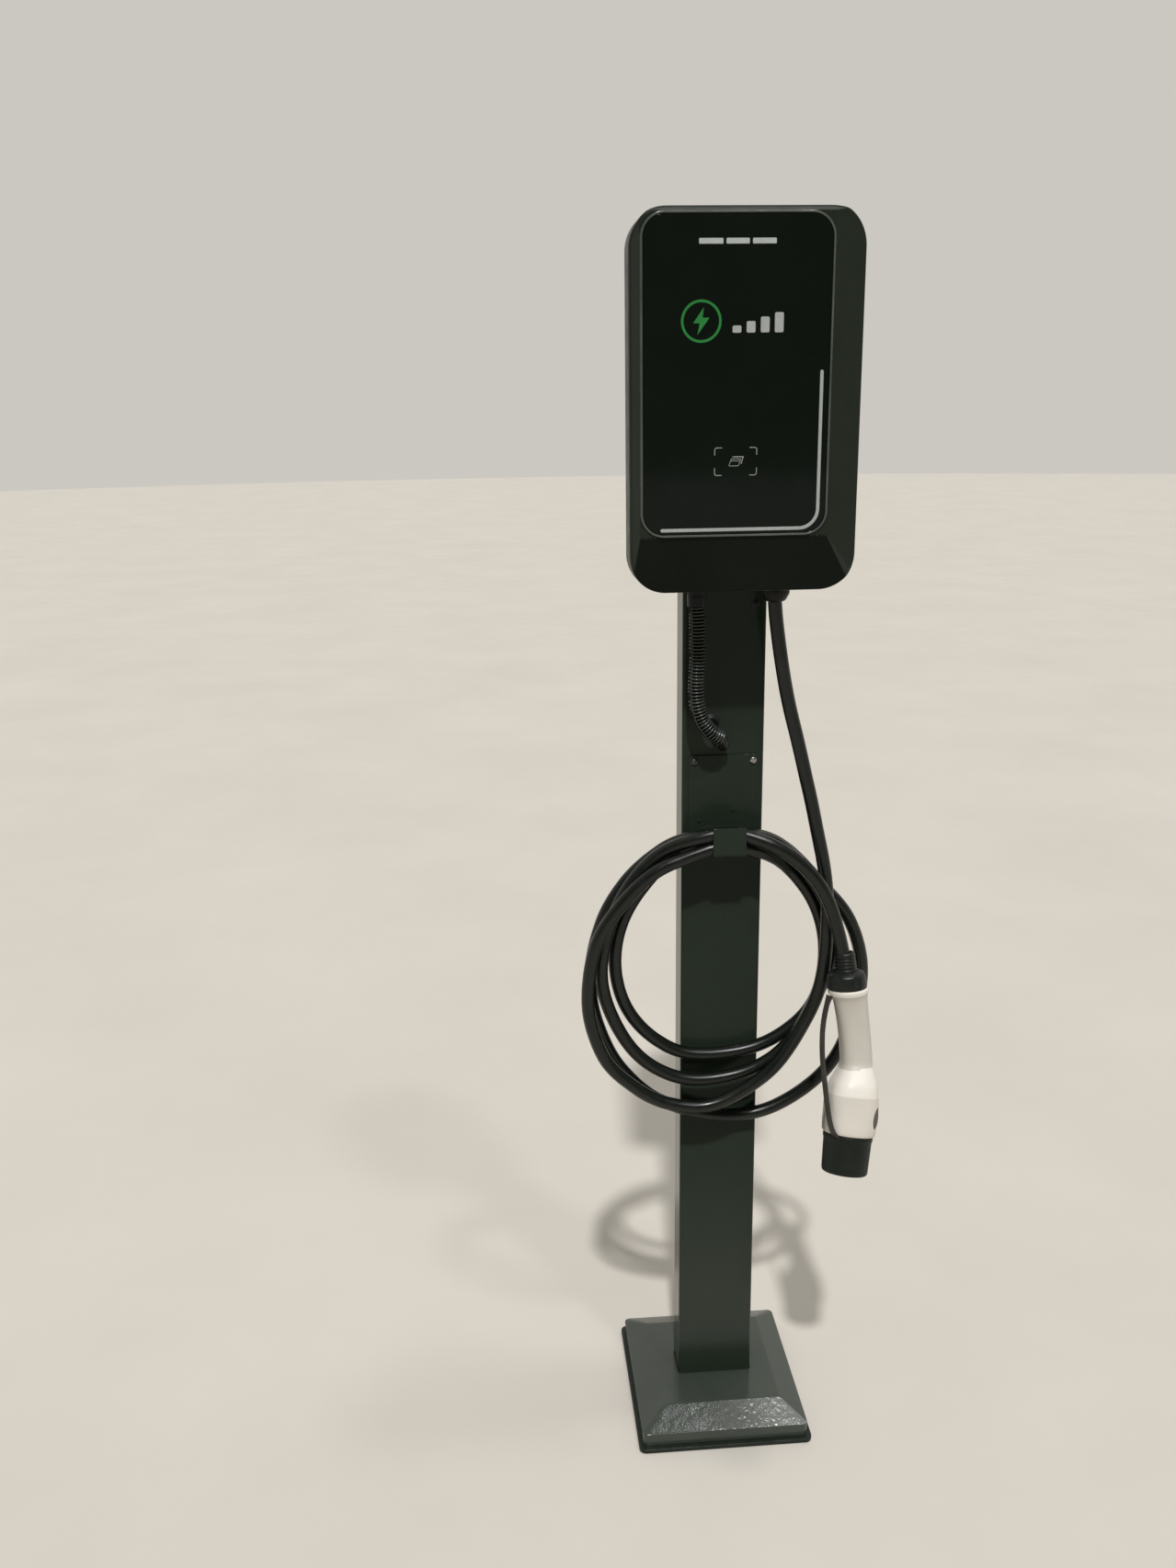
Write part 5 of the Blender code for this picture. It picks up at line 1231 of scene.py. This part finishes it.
# grip faces take the darkest copy of the white and head faces the middle one: painted shade
crease_at = Vector(SECT[CREASE][0])
for f in gun.data.polygons:
    c = Vector((f.center.x / MM, f.center.y / MM - SHIFT_Y, f.center.z / MM))
    if (c - Vector(SECT[9][0])).dot(HANDLE) < 0.0 < (c - Vector(SECT[3][0])).dot(COLLAR_DIR):
        f.material_index = 1
    elif (c - crease_at).dot(NOSE) > 0.0:
        f.material_index = 2
post_piece(gun, "gun_shell_front", "gun_shell_rear", slot="gun_white")

u_b, v_b, d_b = frame_of(BN, NOSE)


def oval_ring(k, h):
    return [BTN + u_b * (12.7 * k * math.cos(2 * math.pi * j / 48)) + v_b * (6.9 * k * math.sin(2 * math.pi * j / 48)) + d_b * h
            for j in range(48)]


button = loft("button_oval", [oval_ring(1.0, -5.0), oval_ring(1.0, 2.0), oval_ring(0.985, 2.6), oval_ring(0.94, 3.1), oval_ring(0.84, 3.5),
                              oval_ring(0.6, 3.5), oval_ring(0.3, 3.3), oval_ring(0.05, 3.25)], BUTTON)
post_piece(button, "release_button", slot="grey_plastic", body="button")

# grey raised patch on the left flank of the connector, beside the strap, darker than the white body
cheek_at = CAP_TOP - NOSE * 3.0 - NU * 30.6
CHEEK_V = 4.5
cheek_rings = []
for along, half, lift in ((0.0, 16.5, 1.9), (8.0, 15.0, 2.0), (18.0, 11.0, 1.6), (28.0, 6.0, 0.7), (34.0, 2.6, -0.6)):
    c = cheek_at - NOSE * along
    ring = []
    for a, h in ((-1.0, -3.0), (-1.0, -0.3), (-0.9, 0.5), (-0.5, 0.95), (0.0, 1.05), (0.5, 0.95), (0.9, 0.5), (1.0, -0.3), (1.0, -3.0)):
        bow = -((a * half + CHEEK_V) ** 2) / 62.0
        ring.append(c - NU * (lift + h + bow - 1.0) + NV * (a * half + CHEEK_V))
    cheek_rings.append(ring)
cheek = loft("connector_cheek", cheek_rings, CHEEK, smooth=40.0)
soften(cheek, 0.4, 2, 30.0)
settle(cheek, 40.0)
post_piece(cheek, slot="grey_plastic")

# nose round the open end; the contact block and contacts keep their CAD solids
nose_prof = [(22.2, -8.5), (22.2, 40.2), (22.6, 41.0), (24.6, 41.0), (25.4, 40.2), (25.6, 38.0), (25.6, -2.6), (26.0, -3.0), (28.4, -3.0),
             (28.4, -8.5)]


def key_shape(t, r, h):
    return r - (1.8 if abs((t - math.pi / 2 + math.pi) % (2 * math.pi) - math.pi) < 0.16 and r > 24.0 and h > -2.0 else 0.0)


nose = revolve("connector_nose", nose_prof, CAP_TOP, NOSE, BLACK, steps=96, ring=True, shape=key_shape, smooth=34.0)
post_piece(nose, "gun_nose", slot="black_plastic")

# cap: ribbed grip on both flanks, rounded end
def cap_shape(t, r, h):
    if 9.0 < h < 43.0 and r > 27.0:
        side = max(0.0, math.cos(t) ** 2 - 0.35) / 0.65
        wave = 0.5 + 0.5 * math.cos(40 * t)
        fade = min(1.0, (h - 9.0) / 4.0, (43.0 - h) / 4.0)
        return r - 0.75 * side * wave * fade
    return r


cap_prof = [(0.0, 48.0), (14.0, 48.0), (23.6, 47.9), (25.4, 47.5), (26.7, 46.7), (27.5, 45.5), (27.9, 44.0)]
cap_prof += [(27.9 + 1.5 * (1 - h / 44.0), h) for h in (43.0, 41.0, 38.0, 34.0, 29.0, 24.0, 19.0, 15.0, 12.0, 10.0, 8.6)]
cap_prof += [(29.5, 6.0), (29.95, 5.4), (30.1, 4.4), (30.1, 1.0), (29.8, 0.2), (29.2, 0.0), (26.0, 0.0), (26.0, 43.5), (0.0, 43.5)]
cap = revolve("dust_cap", cap_prof, CAP_TOP, NOSE, CAP_RUBBER, steps=240, shape=cap_shape, smooth=42.0, hint=NU)
post_piece(cap, "connector_cap", slot="black_rubber", body="cap")

STRAP_AZ = math.radians(128.0)


def cap_point(r, along):
    return tuple(CAP_TOP + NOSE * along + (NU * math.cos(STRAP_AZ) + NV * math.sin(STRAP_AZ)) * r)


STRAP_PATH = [(121.3, -104.5, 640.0), (117.5, -106.5, 628.0), (113.2, -110.5, 607.0), (110.8, -117.0, 586.0), (109.6, -128.0, 562.5),
              (109.8, -143.0, 537.0), (110.4, -157.5, 513.0), (111.8, -164.5, 500.0), (114.2, -167.6, 491.5), (117.2, -167.2, 486.0), (118.9, -166.0, 482.8)]
sp_pts = catmull(STRAP_PATH, 2.0)
st_rings = []
for i, p in enumerate(sp_pts):
    t = (sp_pts[min(i + 1, len(sp_pts) - 1)] - sp_pts[max(i - 1, 0)]).normalized()
    sd = Vector((0.62, -0.78, 0.0))
    sd = (sd - t * sd.dot(t)).normalized()
    nr = t.cross(sd)
    far_end = (len(sp_pts) - 1 - i) * 2.0
    w = 3.6 + 2.2 * max(0.0, 1.0 - far_end / 16.0) ** 1.5 + 1.0 * max(0.0, 1.0 - i * 2.0 / 10.0)
    h = 1.15
    prof = [(w, -h * 0.4), (w, h * 0.4), (w - 0.5, h), (0.5 * w, h * 1.06), (0.0, h * 1.08), (-0.5 * w, h * 1.06), (-w + 0.5, h),
            (-w, h * 0.4), (-w, -h * 0.4), (-w + 0.5, -h), (0.0, -h), (w - 0.5, -h)]
    st_rings.append([p + sd * a + nr * b for a, b in prof])
strap = loft("dust_cap_strap", st_rings, STRAP_RUBBER, smooth=60.0)
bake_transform(strap)
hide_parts("cap_strap")

# ================================================================= finishes of the CAD solids that stay
FINISH = {
    "mounting_bracket": GALV, "housing_bolt_1": STEEL, "housing_bolt_2": STEEL, "housing_gasket": SEAL,
    "led_board": BOARD, "main_board": BOARD, "contactor": BLACK, "power_supply": GREY, "supply_terminals": GREY,
    "output_terminals": GREY, "current_sensor": BLACK, "supply_wires": GREY, "output_wires": GREY, "supply_cable": CABLE,
    "contact_block": BLACK, "contact_earth": BRASS, "contact_line": BRASS, "contact_neutral": BRASS, "contact_pilot": BRASS,
    "contact_proximity": BRASS, "button_switch": BLACK,
}
for name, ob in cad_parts.items():
    m = FINISH.get(name, BLACK)
    if ob.type == 'MESH':
        if ob.material_slots:
            for s in ob.material_slots:
                s.material = m
        else:
            ob.data.materials.append(m)

# ================================================================= studio: floor, world and lights
fbm = bmesh.new()
R_IN, R_OUT, SEG = 0.0, 26.0, 96
mid = fbm.verts.new((0, 0, -0.0004))
prev = None
for rad in (1.2, 3.0, 7.0, 14.0, R_OUT):
    row = [fbm.verts.new((rad * math.cos(2 * math.pi * k / SEG), rad * math.sin(2 * math.pi * k / SEG), -0.0004)) for k in range(SEG)]
    for k in range(SEG):
        j = (k + 1) % SEG
        if prev is None:
            fbm.faces.new((mid, row[k], row[j]))
        else:
            fbm.faces.new((prev[k], row[k], row[j], prev[j]))
    prev = row
floor = finish_mesh("studio_floor", fbm, FLOOR, None)
floor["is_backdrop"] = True

world = bpy.data.worlds.new("studio")
SCENE.world = world
world.use_nodes = True
wt = world.node_tree
bg = wt.nodes["Background"]
wc = wt.nodes.new("ShaderNodeTexCoord")
ws = wt.nodes.new("ShaderNodeSeparateXYZ")
wt.links.new(wc.outputs["Generated"], ws.inputs[0])
back = span(wt, ws.outputs["Y"], 0.0, 1.0, -0.75, 0.15)
wr = ramp(wt, back, [(0.0, (0.070, 0.070, 0.066)), (0.5, (0.22, 0.215, 0.20)), (0.85, (0.52, 0.50, 0.465)), (1.0, (0.60, 0.578, 0.535))])
# the wall that is seen is evenly pale; the room that lights the object is darker in front
lp = wt.nodes.new("ShaderNodeLightPath")
wm = wt.nodes.new("ShaderNodeMix")
wm.data_type = 'RGBA'
wt.links.new(lp.outputs["Is Camera Ray"], wm.inputs[0])
wt.links.new(wr, wm.inputs[6])
wm.inputs[7].default_value = (0.60, 0.578, 0.535, 1)
wt.links.new(wm.outputs[2], bg.inputs["Color"])
bg.inputs["Strength"].default_value = 1.0


def sun(name, towards, power, spread, colour=(1, 1, 1)):
    """Distant soft lamp; 'towards' points from the object to the lamp."""
    li = bpy.data.lights.new(name, 'SUN')
    li.energy = power
    li.angle = math.radians(spread)
    li.color = colour
    ob = bpy.data.objects.new(name, li)
    SCENE.collection.objects.link(ob)
    ob.location = Vector(towards) * 4.0
    ob.rotation_euler = Vector(towards).to_track_quat('Z', 'Y').to_euler()
    return ob


sun("key", (-0.055, -0.552, 0.832), 2.45, 2.5)
sun("second", (0.268, -0.487, 0.832), 0.42, 4.0)
sun("overhead", (0.25, -0.045, 0.967), 0.38, 5.0)

SCENE.view_settings.view_transform = 'Standard'
SCENE.view_settings.look = 'None'
SCENE.view_settings.exposure = 0.0
SCENE.view_settings.gamma = 1.0


def plain(box):
    """Nested plain lists of numbers."""
    if hasattr(box, "__len__"):
        return [plain(v) for v in box]
    return float(box)


{"cad": plain(CAD_BOX), "visual": plain(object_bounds())}
